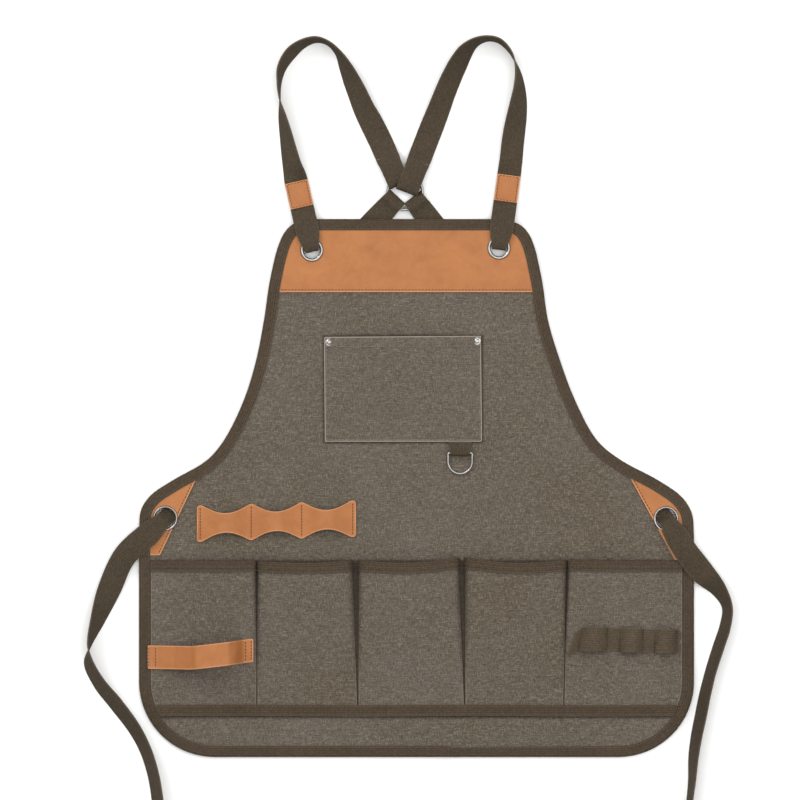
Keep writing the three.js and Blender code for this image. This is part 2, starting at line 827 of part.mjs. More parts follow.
const pocketY = (down) => POCKET_ROW_HEIGHT - down * (POCKET_ROW_HEIGHT - BASE_TAPE_HEIGHT);

function toolPocket(plan) {
  return wall(POCKET_DOWN.map(({ share }) => pocketRow(plan, pocketY(share))), CANVAS);
}

// Tape folded over a pocket's mouth, both legs a clearance away from the canvas
function mouthTape(plan) {
  const top = pocketRow(plan, POCKET_ROW_HEIGHT);
  const foot = pocketRow(plan, POCKET_ROW_HEIGHT + GAP + TAPE - MOUTH_TAPE_WIDTH);
  const normals = wallNormals([top, foot]);
  const near = CANVAS / 2 + GAP;
  const far = near + TAPE;
  const rings = top.map((point, j) => {
    const at = (base, out, up) => base.clone()
      .addScaledVector(normals[0][j], out)
      .add(new THREE.Vector3(0, up, 0));
    return [
      at(foot[j], -far, 0),
      at(point, -far, GAP + TAPE),
      at(point, far, GAP + TAPE),
      at(foot[j], far, 0),
      at(foot[j], near, 0),
      at(point, near, GAP),
      at(point, -near, GAP),
      at(foot[j], -near, 0),
    ];
  });
  return loft(rings);
}

function baseTape() {
  const low = BASE_TAPE_HEIGHT - BASE_TAPE_WIDTH / 2;
  const high = BASE_TAPE_HEIGHT + BASE_TAPE_WIDTH / 2;
  const strip = [
    new THREE.Vector2(-HALF, low),
    new THREE.Vector2(HALF, low),
    new THREE.Vector2(HALF, high),
    new THREE.Vector2(-HALF, high),
  ];
  return flatPiece(SEAT + CANVAS + GAP, TAPE, [INSIDE_BINDING, strip]);
}

// Leather strip sewn down between its loops, drawn in at the middle of each loop
function loopStrip() {
  const left = spot(LOOP_STRIP.left);
  const right = spot(LOOP_STRIP.right);
  const steps = 8;
  const count = LOOP_STRIP.loops * steps;
  const alongs = [-LOOP_STRIP.endShare];
  for (let i = 0; i <= count; i += 1) alongs.push(i / count);
  alongs.push(1 + LOOP_STRIP.endShare);
  const widths = [-1, 0, 1];
  const grid = widths.map((side) => alongs.map((along) => {
    const loop = Math.min(1, Math.max(0, along)) * LOOP_STRIP.loops;
    const phase = Math.sin(Math.PI * (loop % 1));
    const half = inY(LOOP_STRIP.halfWidth) * (1 - (1 - LOOP_STRIP.waist) * phase);
    const p = left.clone().lerp(right, along);
    const arch = LOOP_STRIP_ARCH * phase * phase;
    return new THREE.Vector3(p.x, p.y + side * half, liftAt(p.y) + SEAT + LEATHER / 2 + arch);
  }));
  return wall(grid, LEATHER);
}

// A strap sewn to a pocket's wall and arched over it
function strapOnPocket(plan, left, right, width, thickness, form) {
  const from = spot(left);
  const to = spot(right);
  const grid = [-0.5, 0.5].map((side) => form.map(({ along, height }) => {
    const p = from.clone().lerp(to, along);
    const y = p.y + side * width;
    const seat = pocketPoint(plan, p.x, y).z + CANVAS / 2 + 2 * GAP + thickness / 2;
    return new THREE.Vector3(p.x, y, seat + height);
  }));
  return wall(grid, thickness);
}

function handleLoop(plan) {
  const form = HANDLE_LOOP_FORM.map(({ along, rise }) => ({
    along,
    height: rise * HANDLE_LOOP_ARCH,
  }));
  return strapOnPocket(plan, HANDLE_LOOP.left, HANDLE_LOOP.right, HANDLE_LOOP_WIDTH, LEATHER, form);
}

function loopBand(plan) {
  const form = [{ along: 0, height: 0 }];
  const steps = 8;
  for (const { middle, half } of LOOP_BAND.loops) {
    for (let i = 0; i <= steps; i += 1) {
      const angle = Math.PI * (i / steps);
      form.push({
        along: middle - half * Math.cos(angle),
        height: LOOP_BAND_ARCH * Math.sin(angle) ** 1.5,
      });
    }
  }
  form.push({ along: 1, height: 0 });
  return strapOnPocket(plan, LOOP_BAND.left, LOOP_BAND.right, LOOP_BAND_WIDTH, TAPE, form);
}

// Sections along a strap: its middle, and its half width as a vector across it
function strapSections(stations, longestStep) {
  const middles = stations.map((s) => s.middle);
  const halves = stations.map((s) => s.across.clone().multiplyScalar(s.width / 2));
  const curve = new THREE.CatmullRomCurve3(middles, false, 'centripetal');
  const spans = stations.length - 1;
  const sections = [{ middle: middles[0].clone(), half: halves[0].clone() }];
  for (let i = 0; i < spans; i += 1) {
    const steps = Math.ceil(middles[i].distanceTo(middles[i + 1]) / longestStep);
    for (let j = 1; j <= steps; j += 1) {
      const middle = curve.getPoint((i + j / steps) / spans);
      sections.push({ middle, half: halves[i].clone().lerp(halves[i + 1], j / steps) });
    }
  }
  sections.forEach((section, i) => {
    const before = sections[Math.max(0, i - 1)].middle;
    const after = sections[Math.min(sections.length - 1, i + 1)].middle;
    section.normal = section.half.clone().cross(after.clone().sub(before)).normalize();
    const { middle, half, normal } = section;
    const resting = Math.abs(half.z) + (WEBBING / 2) * Math.abs(normal.z);
    middle.z = Math.max(middle.z, resting);
  });
  return sections;
}

// Webbing over a run of sections, its faces a distance off the middle surface
function webbing(sections, lowFace, highFace) {
  return loft(sections.map(({ middle, half, normal }) => [
    middle.clone().sub(half).addScaledVector(normal, lowFace),
    middle.clone().add(half).addScaledVector(normal, lowFace),
    middle.clone().add(half).addScaledVector(normal, highFace),
    middle.clone().sub(half).addScaledVector(normal, highFace),
  ]));
}

const heading = (degrees) => new THREE.Vector2(
  Math.cos(THREE.MathUtils.degToRad(degrees)),
  Math.sin(THREE.MathUtils.degToRad(degrees)),
);

// Stations in the upright plane through a place, all with the same side to side direction
function planeStations(place, aim, sideSign, rows) {
  const across = new THREE.Vector3(aim.y, -aim.x, 0).multiplyScalar(sideSign);
  return rows.map(({ along, height, gather = 1 }) => ({
    middle: new THREE.Vector3(place.x + aim.x * along, place.y + aim.y * along, height),
    across,
    width: STRAP_WIDTH * gather,
  }));
}

// Stations of a strap laid on the floor and rolled about its own middle line
function laidStations(route, sideSign, before, after) {
  const places = route.map(spot);
  return route.map((row, i) => {
    const from = i > 0 ? places[i - 1] : before;
    const to = i + 1 < places.length ? places[i + 1] : after;
    const way = to.clone().sub(from).normalize();
    const roll = THREE.MathUtils.degToRad(row.roll ?? 0);
    const level = new THREE.Vector3(way.y, -way.x, 0).multiplyScalar(sideSign);
    const across = level.multiplyScalar(Math.cos(roll));
    across.z = Math.sin(roll);
    const onFloor = (STRAP_WIDTH / 2) * Math.sin(roll) + (WEBBING / 2) * Math.abs(Math.cos(roll));
    const raised = (row.raised ?? 0) * (BINDING_TOP + LAYER + GAP);
    return {
      middle: new THREE.Vector3(places[i].x, places[i].y, onFloor + raised),
      across,
      width: STRAP_WIDTH,
    };
  });
}

const ON_FLOOR = WEBBING / 2;
const RING_MIDDLE = (CROSS_RING_DIAMETER - CROSS_RING_WIRE) / 2;
const RING_TOP_HEIGHT = 2 * LAYER + 2 * GAP + CROSS_RING_WIRE / 2;
const RING_FOOT_HEIGHT = LAYER + 2 * GAP + CROSS_RING_WIRE / 2;

// Shoulder strap: sewn end under the keeper, down behind the bib, up through the chest
// eyelet, back over the bib, round the shoulder and folded back round the cross ring
function shoulderSections(side, fold, nest) {
  const sideSign = side === 'left' ? 1 : -1;
  const eyeletPlace = spot(CHEST_EYELETS[side]);
  const route = SHOULDER_ROUTE[side];
  const first = spot(route[0]);
  const aim = first.clone().sub(eyeletPlace).normalize();
  const lift = liftAt(eyeletPlace.y);
  const reach = (APRON_LENGTH - eyeletPlace.y) / aim.y;
  const below = lift + EYELET_FOOT - GAP - WEBBING / 2;
  const above = lift + EYELET_TOP + GAP + WEBBING / 2;
  const overEdge = lift + LEATHER_FACE + LAYER;
  const rim = CHEST_EYELET_RIM / 2;
  const middle = (below + above) / 2;
  const inBore = (0.86 * CHEST_EYELET_BORE) / STRAP_WIDTH;
  const keeperFoot = reach + KEEPER_ABOVE_BIB[side];
  const keeperHead = keeperFoot + KEEPER_LENGTH;
  const sewnEnd = keeperHead - 2;
  const onBack = ON_FLOOR + LAYER + GAP;
  const turn = planeStations(eyeletPlace, aim, sideSign, [
    { along: sewnEnd, height: ON_FLOOR },
    { along: reach, height: ON_FLOOR },
    { along: rim + 12, height: ON_FLOOR },
    { along: rim + 2, height: below - 0.6, gather: 0.85 },
    { along: rim * 0.5, height: below, gather: inBore },
    { along: 1, height: below + 0.6, gather: inBore },
    { along: -1, height: middle - 2, gather: inBore },
    { along: -1.2, height: middle, gather: inBore },
    { along: -1, height: middle + 2, gather: inBore },
    { along: 1, height: above - 0.6, gather: inBore },
    { along: rim * 0.5, height: above + 0.3, gather: 0.75 },
    { along: rim + 4, height: above, gather: 0.95 },
    { along: reach - 4, height: overEdge },
    { along: reach + 2, height: overEdge - 0.4 },
    { along: keeperFoot, height: (overEdge + onBack) / 2 },
    { along: keeperFoot + KEEPER_LENGTH * 0.2, height: onBack + 0.6 },
    { along: keeperFoot + KEEPER_LENGTH * 0.4, height: onBack + 0.1 },
    { along: keeperFoot + KEEPER_LENGTH * 0.7, height: onBack },
    { along: keeperHead, height: onBack },
  ]);
  const foldPlace = spot(fold);
  const away = heading(fold.away);
  const onRing = RING_TOP_HEIGHT + CROSS_RING_WIRE / 2 + GAP + WEBBING / 2 + nest * LAYER;
  const underRing = ON_FLOOR + (1 - nest) * LAYER;
  const onReturn = underRing + LAYER + GAP;
  const hold = nest === 0 ? 0.66 : 0.92;
  const gather = RING_GATHER;
  const ringStations = planeStations(foldPlace, away, sideSign, [
    { along: SEWN_BACK * (hold + 0.75), height: ON_FLOOR + 0.2 * LAYER },
    { along: SEWN_BACK * (hold + 0.36), height: onReturn },
    { along: SEWN_BACK * (hold + 0.18), height: (onRing + onReturn) / 2 },
    { along: SEWN_BACK * hold, height: onRing, gather: 0.95 },
    { along: LAYER, height: onRing, gather },
    { along: 0, height: onRing - LAYER, gather },
    { along: -WEBBING / 2, height: (onRing + underRing) / 2, gather },
    { along: 0, height: underRing + LAYER, gather },
    { along: LAYER, height: underRing + 2 * GAP, gather },
    { along: 3 * LAYER, height: underRing, gather },
    { along: SEWN_BACK * 0.75, height: underRing, gather: 0.95 },
    { along: SEWN_BACK, height: underRing },
  ]);
  const leadIn = foldPlace.clone().addScaledVector(away, SEWN_BACK * (hold + 0.75));
  const laid = laidStations(route, sideSign, eyeletPlace, leadIn);
  const sections = strapSections([...turn, ...laid, ...ringStations], 12);
  const past = (middle) => (middle.x - eyeletPlace.x) * aim.x + (middle.y - eyeletPlace.y) * aim.y;
  const covered = sections.slice(0, sections.length / 2).filter(({ middle }) => (
    middle.z > onBack - GAP && past(middle) > keeperFoot - 0.5 && past(middle) < keeperHead + 0.5
  ));
  return { sections, covered };
}

// Leather patch over both layers of the shoulder strap, just above the bib
function keeper(covered) {
  const faceUp = covered[0].normal.z > 0 ? 1 : -1;
  const low = faceUp * (WEBBING / 2 + GAP);
  return webbing(covered, low, low + faceUp * LEATHER);
}

// Waist strap: folded round the ring, under the bib, up through the side eyelet, tie end
function waistSections(side, fold) {
  const eyeletPlace = spot(SIDE_EYELETS[side]);
  const hidden = HIDDEN_ROUTE[side];
  const tie = TIE_ROUTE[side];
  const foldPlace = spot(fold);
  const away = heading(fold.away);
  const sideSign = side === 'left' ? 1 : -1;
  const ringHeight = (RING_TOP_HEIGHT + RING_FOOT_HEIGHT) / 2;
  const onRing = ringHeight + CROSS_RING_WIRE / 2 + GAP + WEBBING / 2;
  const onReturn = ON_FLOOR + LAYER;
  const ringStations = planeStations(foldPlace, away, sideSign, [
    { along: SEWN_BACK * 0.8, height: ON_FLOOR },
    { along: SEWN_BACK * 0.4, height: ON_FLOOR, gather: 0.92 },
    { along: LAYER, height: ON_FLOOR, gather: RING_GATHER },
    { along: 0, height: ON_FLOOR + 0.6 * LAYER, gather: RING_GATHER },
    { along: -WEBBING / 2, height: (ON_FLOOR + onRing) / 2, gather: RING_GATHER },
    { along: 0, height: onRing - 0.6 * LAYER, gather: RING_GATHER },
    { along: LAYER, height: onRing, gather: RING_GATHER },
    { along: SEWN_BACK * 0.24, height: onRing, gather: 0.86 },
    { along: SEWN_BACK * 0.35, height: (onRing + onReturn) / 2, gather: 0.9 },
    { along: SEWN_BACK * 0.47, height: onReturn, gather: 0.96 },
    { along: SEWN_BACK * 0.95, height: onReturn },
    { along: SEWN_BACK * 1.3, height: ON_FLOOR },
  ]);
  const lift = liftAt(eyeletPlace.y);
  const above = lift + EYELET_TOP + GAP + WEBBING / 2;
  const middle = (above + ON_FLOOR) / 2;
  const inward = spot(tie[0]).sub(spot(hidden[hidden.length - 1])).normalize();
  const outward = spot(tie[0]).sub(eyeletPlace).normalize();
  const gather = (0.84 * SIDE_EYELET_BORE) / STRAP_WIDTH;
  const rim = SIDE_EYELET_RIM / 2;
  const enteringStations = planeStations(eyeletPlace, inward, sideSign, [
    { along: -rim - 14, height: ON_FLOOR },
    { along: -rim, height: ON_FLOOR, gather: 0.9 },
    { along: -5, height: ON_FLOOR + 0.1, gather },
    { along: -2, height: middle - 2.2, gather },
  ]);
  const leavingStations = planeStations(eyeletPlace, outward, sideSign, [
    { along: 0, height: middle, gather },
    { along: 2, height: middle + 2.2, gather },
    { along: 4.6, height: above, gather },
    { along: rim, height: above + 0.4, gather: 0.88 },
    { along: rim + 10, height: above },
  ]);
  const ringEnd = foldPlace.clone().addScaledVector(away, SEWN_BACK * 1.3);
  const hiddenStations = laidStations(hidden, sideSign, ringEnd, eyeletPlace);
  const last = spot(tie[tie.length - 1]);
  const beyond = last.clone().add(last.clone().sub(spot(tie[tie.length - 2])));
  const tieStations = laidStations(tie, sideSign, eyeletPlace, beyond);
  const throughEyelet = [...enteringStations, ...leavingStations];
  return strapSections([...ringStations, ...hiddenStations, ...throughEyelet, ...tieStations], 15);
}

// Cross ring, leaning a little because more webbing lies under its upper side
function crossRing() {
  const geometry = new THREE.TorusGeometry(RING_MIDDLE, CROSS_RING_WIRE / 2, 8, 28);
  geometry.rotateX(Math.atan2(RING_TOP_HEIGHT - RING_FOOT_HEIGHT, 2 * RING_MIDDLE));
  const { x, y } = spot(CROSS_RING);
  geometry.translate(x, y, (RING_TOP_HEIGHT + RING_FOOT_HEIGHT) / 2);
  return body(...weld(geometry));
}

const TAB_TOP = inY(CHEST_POCKET.footRight.up) - 2 * GAP;
const TAB_BEND = D_RING_WIRE / 2 + 2 * GAP + WEBBING / 2;
const BAR = {
  x: inX(RING_TAB_ACROSS),
  y: TAB_TOP - TAB_LENGTH + TAB_BEND + WEBBING / 2,
  height: SEAT + WEBBING / 2 + TAB_BEND,
};

// Webbing tab folded round the bar of the D-ring
function ringTab() {
  const lift = liftAt(BAR.y);
  const bend = TAB_BEND;
  const low = SEAT + WEBBING / 2;
  const stations = [];
  const add = (y, height, width) => stations.push({
    middle: new THREE.Vector3(BAR.x, y, lift + height),
    across: new THREE.Vector3(1, 0, 0),
    width,
  });
  const wide = BAR.y + 0.6 * (TAB_TOP - BAR.y);
  add(TAB_TOP, low, STRAP_WIDTH);
  add(wide, low, TAB_FOLD_WIDTH);
  add(BAR.y + bend, low, TAB_FOLD_WIDTH);
  const steps = 6;
  for (let i = 0; i <= steps; i += 1) {
    const angle = Math.PI * (0.5 + i / steps);
    add(BAR.y + bend * Math.cos(angle), BAR.height - bend * Math.sin(angle), TAB_FOLD_WIDTH);
  }
  add(BAR.y + bend, BAR.height + bend * 0.9, TAB_FOLD_WIDTH);
  add(wide, low + LAYER + 0.9, TAB_FOLD_WIDTH);
  add(TAB_TOP, low + LAYER, STRAP_WIDTH);
  return webbing(strapSections(stations, 6), -WEBBING / 2, WEBBING / 2);
}

// D-ring: a straight bar, two short arms and a half round of one wire, dropping to the panel
function dRing() {
  const half = TAB_FOLD_WIDTH / 2 + 3 * GAP + D_RING_WIRE / 2;
  const round = 0.55 * D_RING_WIRE;
  const path = [];
  path.push(new THREE.Vector2(-half + round, 0), new THREE.Vector2(half - round, 0));
  path.push(new THREE.Vector2(half - 0.3 * round, -0.3 * round));
  const arm = Math.max(D_RING_DEPTH - half, round);
  const steps = 10;
  for (let i = 0; i <= steps; i += 1) {
    const angle = Math.PI * (i / steps);
    path.push(new THREE.Vector2(
      half * Math.cos(angle),
      -arm - (D_RING_DEPTH - arm) * Math.sin(angle),
    ));
  }
  path.push(new THREE.Vector2(-half + 0.3 * round, -0.3 * round));
  const count = path.length;
  const sides = 8;
  const rings = path.map((point, i) => {
    const before = point.clone().sub(path[(i + count - 1) % count]).normalize();
    const after = path[(i + 1) % count].clone().sub(point).normalize();
    const tangent = before.clone().add(after).normalize();
    const out = new THREE.Vector2(tangent.y, -tangent.x);
    return Array.from({ length: sides }, (_, k) => {
      const angle = (2 * Math.PI * (k + 0.5)) / sides;
      const reach = (D_RING_WIRE / 2) * Math.cos(angle);
      const height = (D_RING_WIRE / 2) * Math.sin(angle);
      return new THREE.Vector3(point.x + out.x * reach, point.y + out.y * reach, height);
    });
  });
  const drop = BAR.height - (SEAT + D_RING_WIRE / 2);
  const geometry = loft(rings, true);
  geometry.rotateX(Math.asin(drop / D_RING_DEPTH));
  return geometry.translate(BAR.x, BAR.y, liftAt(BAR.y) + BAR.height);
}

// The whole apron
const group = new THREE.Group();

function add(name, geometry, material) {
  const look = new THREE.MeshStandardMaterial(MATERIALS[material]);
  const mesh = new THREE.Mesh(geometry, look);
  mesh.name = name;
  group.add(mesh);
}

add('main_panel', mainPanel(), 'canvas');
add('edge_binding', edgeBinding(), 'tape');
add('chest_band', chestBand(), 'leather');
add('chest_pocket', chestPocket(), 'canvas');
add('ring_tab', ringTab(), 'webbing');
add('d_ring', dRing(), 'metal');
add('loop_strip', loopStrip(), 'leather');
add('base_tape', baseTape(), 'tape');

const PLANS = [...DIVIDERS, null].map((_, index) => pocketPlan(index));
const POCKET_NAMES = ['far_left', 'left', 'middle', 'right', 'far_right'];
PLANS.forEach((plan, index) => {
  add(`pocket_${POCKET_NAMES[index]}`, toolPocket(plan), 'canvas');
  add(`mouth_tape_${POCKET_NAMES[index]}`, mouthTape(plan), 'tape');
});
add('handle_loop', handleLoop(PLANS[0]), 'leather');
add('loop_band', loopBand(PLANS[PLANS.length - 1]), 'webbing');
add('cross_ring', crossRing(), 'metal');

for (const side of ['left', 'right']) {
  add(`side_patch_${side}`, sidePatch(SIDE_PATCHES[side]), 'leather');
  add(`chest_eyelet_${side}`, eyelet(CHEST_EYELETS[side], CHEST_EYELET_BORE, CHEST_EYELET_RIM), 'metal');
  add(`side_eyelet_${side}`, eyelet(SIDE_EYELETS[side], SIDE_EYELET_BORE, SIDE_EYELET_RIM), 'metal');
  add(`pocket_rivet_${side}`, rivet(RIVETS[side]), 'metal');
  const isLeft = side === 'left';
  const shoulderFold = isLeft ? RING_FOLDS.shoulderLeft : RING_FOLDS.shoulderRight;
  const { sections, covered } = shoulderSections(side, shoulderFold, isLeft ? 0 : 1);
  add(`shoulder_strap_${side}`, webbing(sections, -WEBBING / 2, WEBBING / 2), 'webbing');
  add(`strap_keeper_${side}`, keeper(covered), 'leather');
  const waist = waistSections(side, isLeft ? RING_FOLDS.waistLeft : RING_FOLDS.waistRight);
  add(`waist_strap_${side}`, webbing(waist, -WEBBING / 2, WEBBING / 2), 'webbing');
}

// Origin under the middle of the whole, on the floor
const bounds = new THREE.Box3().setFromObject(group);
const middleOfBounds = bounds.getCenter(new THREE.Vector3());
group.position.set(-middleOfBounds.x, -middleOfBounds.y, -bounds.min.z);
group.updateMatrixWorld(true);

export default group;
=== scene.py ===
# The gardening apron's looks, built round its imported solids.
# Lengths are millimetres from the middle of the hem until a mesh is made in metres.
import math

import bmesh
import bpy
import numpy as np
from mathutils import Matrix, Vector


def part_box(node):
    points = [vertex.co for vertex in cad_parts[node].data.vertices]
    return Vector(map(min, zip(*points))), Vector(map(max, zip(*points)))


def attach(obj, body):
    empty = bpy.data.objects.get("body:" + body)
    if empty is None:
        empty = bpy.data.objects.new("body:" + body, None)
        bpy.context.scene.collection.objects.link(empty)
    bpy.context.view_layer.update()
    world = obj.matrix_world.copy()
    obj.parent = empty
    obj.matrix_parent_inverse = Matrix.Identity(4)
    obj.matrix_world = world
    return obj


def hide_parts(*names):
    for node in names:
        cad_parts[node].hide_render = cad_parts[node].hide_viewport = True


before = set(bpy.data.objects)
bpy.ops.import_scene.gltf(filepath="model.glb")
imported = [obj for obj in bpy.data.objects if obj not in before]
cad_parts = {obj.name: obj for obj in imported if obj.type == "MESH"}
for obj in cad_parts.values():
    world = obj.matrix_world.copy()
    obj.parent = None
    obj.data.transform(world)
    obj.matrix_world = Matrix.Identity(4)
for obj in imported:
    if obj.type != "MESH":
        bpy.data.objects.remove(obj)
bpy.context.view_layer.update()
IN_M = 0.001
BODY = "apron"
RING_BODY = "d_ring"

# Cut of the apron and thicknesses of its materials
HALF = 294.0
LENGTH = 570.0
HEM_CORNER_RADIUS = 80.0
CANVAS = 1.2
TAPE = 1.0
LEATHER = 1.4
WEBBING = 1.5
GAP = 0.25
LAYER = WEBBING + GAP

# Tape, webbing and fitting sizes
BINDING_WIDTH = 12.0
MOUTH_TAPE_WIDTH = 12.0
BASE_TAPE_WIDTH = 12.0
STRAP_WIDTH = 25.0
EYELET_WALL = 0.8
EYELET_CROWN = 1.4
CROSS_RING_DIAMETER = 40.0
CROSS_RING_WIRE = 3.0
D_RING_WIRE = 2.5
D_RING_DEPTH = 22.0
RIVET_DIAMETER = 8.5
RIVET_CROWN = 1.3

# Pocket and loop sizes
POCKET_ROW_HEIGHT = 207.0
BASE_TAPE_HEIGHT = 49.5
POCKET_DEPTH = 12.0
END_POCKET_DEPTH = 8.0
BASE_SPACING = 1.0
CHEST_POCKET_PUFF = 5.6
TAB_FOLD_WIDTH = 21.5
TAB_LENGTH = 14.5
LOOP_STRIP_ARCH = 8.0
HANDLE_LOOP_WIDTH = 25.0
HANDLE_LOOP_ARCH = 27.0
LOOP_BAND_WIDTH = 25.0
LOOP_BAND_ARCH = 9.0
KEEPER_LENGTH = 29.0
KEEPER_ABOVE_BIB = {"left": 12.0, "right": 18.0}
SEWN_BACK = 34.0
# Width at the ring as a share of the strap's own, because the straps are gathered there
RING_GATHER = {"shoulder_left": 0.93, "shoulder_right": 0.95, "waist_left": 0.9, "waist_right": 0.9}

# Heights of the layers above the lifted floor
PANEL_FOOT = TAPE + GAP
PANEL_FACE = PANEL_FOOT + CANVAS
SEAT = PANEL_FACE + GAP
BINDING_TOP = PANEL_FACE + GAP + TAPE
LEATHER_FACE = SEAT + LEATHER
EYELET_TOP = LEATHER_FACE + GAP + EYELET_CROWN
EYELET_FOOT = PANEL_FOOT - GAP - EYELET_WALL

# Armhole edges from the bib's top corner down: across, up
ARMHOLE = {
    "left": [(-0.42, 1.0), (-0.467, 0.981), (-0.495, 0.955), (-0.528, 0.887), (-0.55, 0.812),
             (-0.578, 0.738), (-0.622, 0.664), (-0.694, 0.589), (-0.755, 0.552), (-0.877, 0.515),
             (-0.957, 0.487), (-0.993, 0.459), (-1.0, 0.422)],
    "right": [(0.319, 1.0), (0.38, 0.987), (0.416, 0.961), (0.452, 0.887), (0.474, 0.812),
              (0.517, 0.738), (0.571, 0.664), (0.65, 0.589), (0.737, 0.552), (0.87, 0.515),
              (0.957, 0.483), (0.993, 0.452), (1.0, 0.411)],
}
# Lift of the bib by the straps under it: up, layers of webbing
LIFT = [(-0.15, 0), (0.217, 0), (0.255, 0.08), (0.292, 0.3), (0.329, 0.6), (0.366, 0.88), (0.394, 1),
        (0.79, 1), (0.816, 1.1), (0.842, 1.5), (0.868, 1.9), (0.894, 2), (1.4, 2)]


# Eyelets: across, up, bore, rim
EYELETS = {
    "chest_eyelet_left": (-0.377, 0.942, 17.5, 25.0),
    "chest_eyelet_right": (0.297, 0.946, 17.5, 25.0),
    "side_eyelet_left": (-0.905, 0.444, 21.0, 27.0),
    "side_eyelet_right": (0.899, 0.443, 21.0, 27.0),
}
CHEST_BAND_FOOT = 0.864
SIDE_PATCHES = {"left": ((-0.795, 0.515), (-0.924, 0.375)), "right": ((0.773, 0.516), (0.931, 0.366))}

# Chest pocket corners, and how far it puffs across and down: share, rise
CHEST_POCKET = {"topLeft": (-0.333, 0.781), "topRight": (0.232, 0.783),
                "footRight": (0.236, 0.586), "footLeft": (-0.33, 0.586)}
CHEST_POCKET_ACROSS = [(0, 0), (0.065, 0), (0.16, 0.55), (0.32, 0.92), (0.5, 1), (0.68, 0.92),
                       (0.84, 0.55), (0.935, 0), (1, 0)]
CHEST_POCKET_DOWN = [(0, 1), (0.1, 1), (0.3, 0.85), (0.6, 0.45), (0.85, 0.1), (0.95, 0), (1, 0)]
RIVETS = {"left": (-0.315, 0.771), "right": (0.218, 0.773)}
RING_TAB_ACROSS = 0.157

# Seams between the tool pockets: across at the mouth, across at the base
DIVIDERS = [(-0.575, -0.575), (-0.22, -0.211), (0.163, 0.174), (0.542, 0.53)]
# How far each seam gapes at the mouth, and how high the mouth tape peaks beside it
SEAM_GAPE = [2.6, 7.6, 7.6, 2.6]
MOUTH_PEAKS = [0.4, 0.9, 3.6, 0.8]
# Pocket sections inward from a seam or the side binding: inward, rise, in shares of the depth
SEAM_SIDE = [(0, 0), (0.08, 0.45), (0.22, 0.78), (0.5, 0.96), (1, 1), (2, 0.96)]
BINDING_SIDE = [(0, 0.16), (1, 0.18), (2.5, 0.38), (4.5, 0.8), (6, 0.96)]
POCKET_MIDDLE_RISE = 0.9
POCKET_DOWN = [(0, 1), (0.09, 0.97), (0.26, 0.8), (0.5, 0.5), (0.74, 0.22), (0.92, 0), (1, 0)]

# Loop strip, handle loop and loop band
LOOP_STRIP = {"left": (-0.777, 0.434), "right": (-0.232, 0.443), "loops": 3, "end": 0.026,
              "half": 0.034, "waist": 0.54}
HANDLE_LOOP = {"left": (-0.968, 0.186), "right": (-0.588, 0.199)}
HANDLE_LOOP_FORM = [(0, 0), (0.1, 0), (0.26, 0.22), (0.41, 0.62), (0.46, 0.84), (0.55, 0.97),
                    (0.66, 1), (0.77, 0.9), (0.84, 0.6), (0.885, 0.12), (0.91, 0), (1, 0)]
LOOP_BAND = {"left": (0.556, 0.221), "right": (0.948, 0.215)}
# Loops of the band in shares of its length: middle, half length
BAND_LOOPS = [(0.21, 0.125), (0.555, 0.105), (0.872, 0.098)]

# Shoulder straps between keeper and cross ring: across, up, roll in degrees
SHOULDER_ROUTE = {
    "left": [(-0.441, 1.087, 28), (-0.449, 1.102, 40), (-0.461, 1.132, 52), (-0.472, 1.162, 62),
             (-0.483, 1.191, 73), (-0.492, 1.221, 90), (-0.495, 1.251, 98), (-0.485, 1.281, 110),
             (-0.45, 1.309, 117), (-0.407, 1.326, 109), (-0.36, 1.333, 102), (-0.317, 1.326, 98),
             (-0.283, 1.309, 103), (-0.256, 1.283, 120), (-0.234, 1.258, 133), (-0.213, 1.234, 142),
             (-0.19, 1.206, 152), (-0.161, 1.177, 168)],
    "right": [(0.337, 1.095, 12), (0.342, 1.117, 18), (0.347, 1.143, 21), (0.354, 1.169, 26),
              (0.362, 1.195, 36), (0.368, 1.221, 49), (0.37, 1.247, 64), (0.365, 1.273, 78),
              (0.352, 1.296, 90), (0.33, 1.316, 96), (0.297, 1.331, 99), (0.256, 1.335, 101),
              (0.212, 1.328, 110), (0.178, 1.312, 127), (0.153, 1.291, 139), (0.128, 1.265, 146),
              (0.104, 1.236, 151), (0.082, 1.206, 158), (0.06, 1.177, 168)],
}
CROSS_RING = (-0.041, 1.05)
# Where each strap folds round the ring, and the way it leads away: across, up, degrees
RING_FOLDS = {"shoulder_left": (-0.0623, 1.0647, 113.5), "shoulder_right": (-0.0343, 1.0511, 69),
              "waist_left": (-0.0715, 1.0402, 227), "waist_right": (-0.0122, 1.0385, 307)}


# Waist straps from the ring to the side eyelets, under the panel: across, up
HIDDEN_ROUTE = {
    "left": [(-0.289, 0.909), (-0.401, 0.814), (-0.503, 0.716), (-0.585, 0.635), (-0.655, 0.57),
             (-0.743, 0.515)],
    "right": [(0.212, 0.8765), (0.345, 0.775), (0.477, 0.674), (0.607, 0.571), (0.719, 0.521)],
}
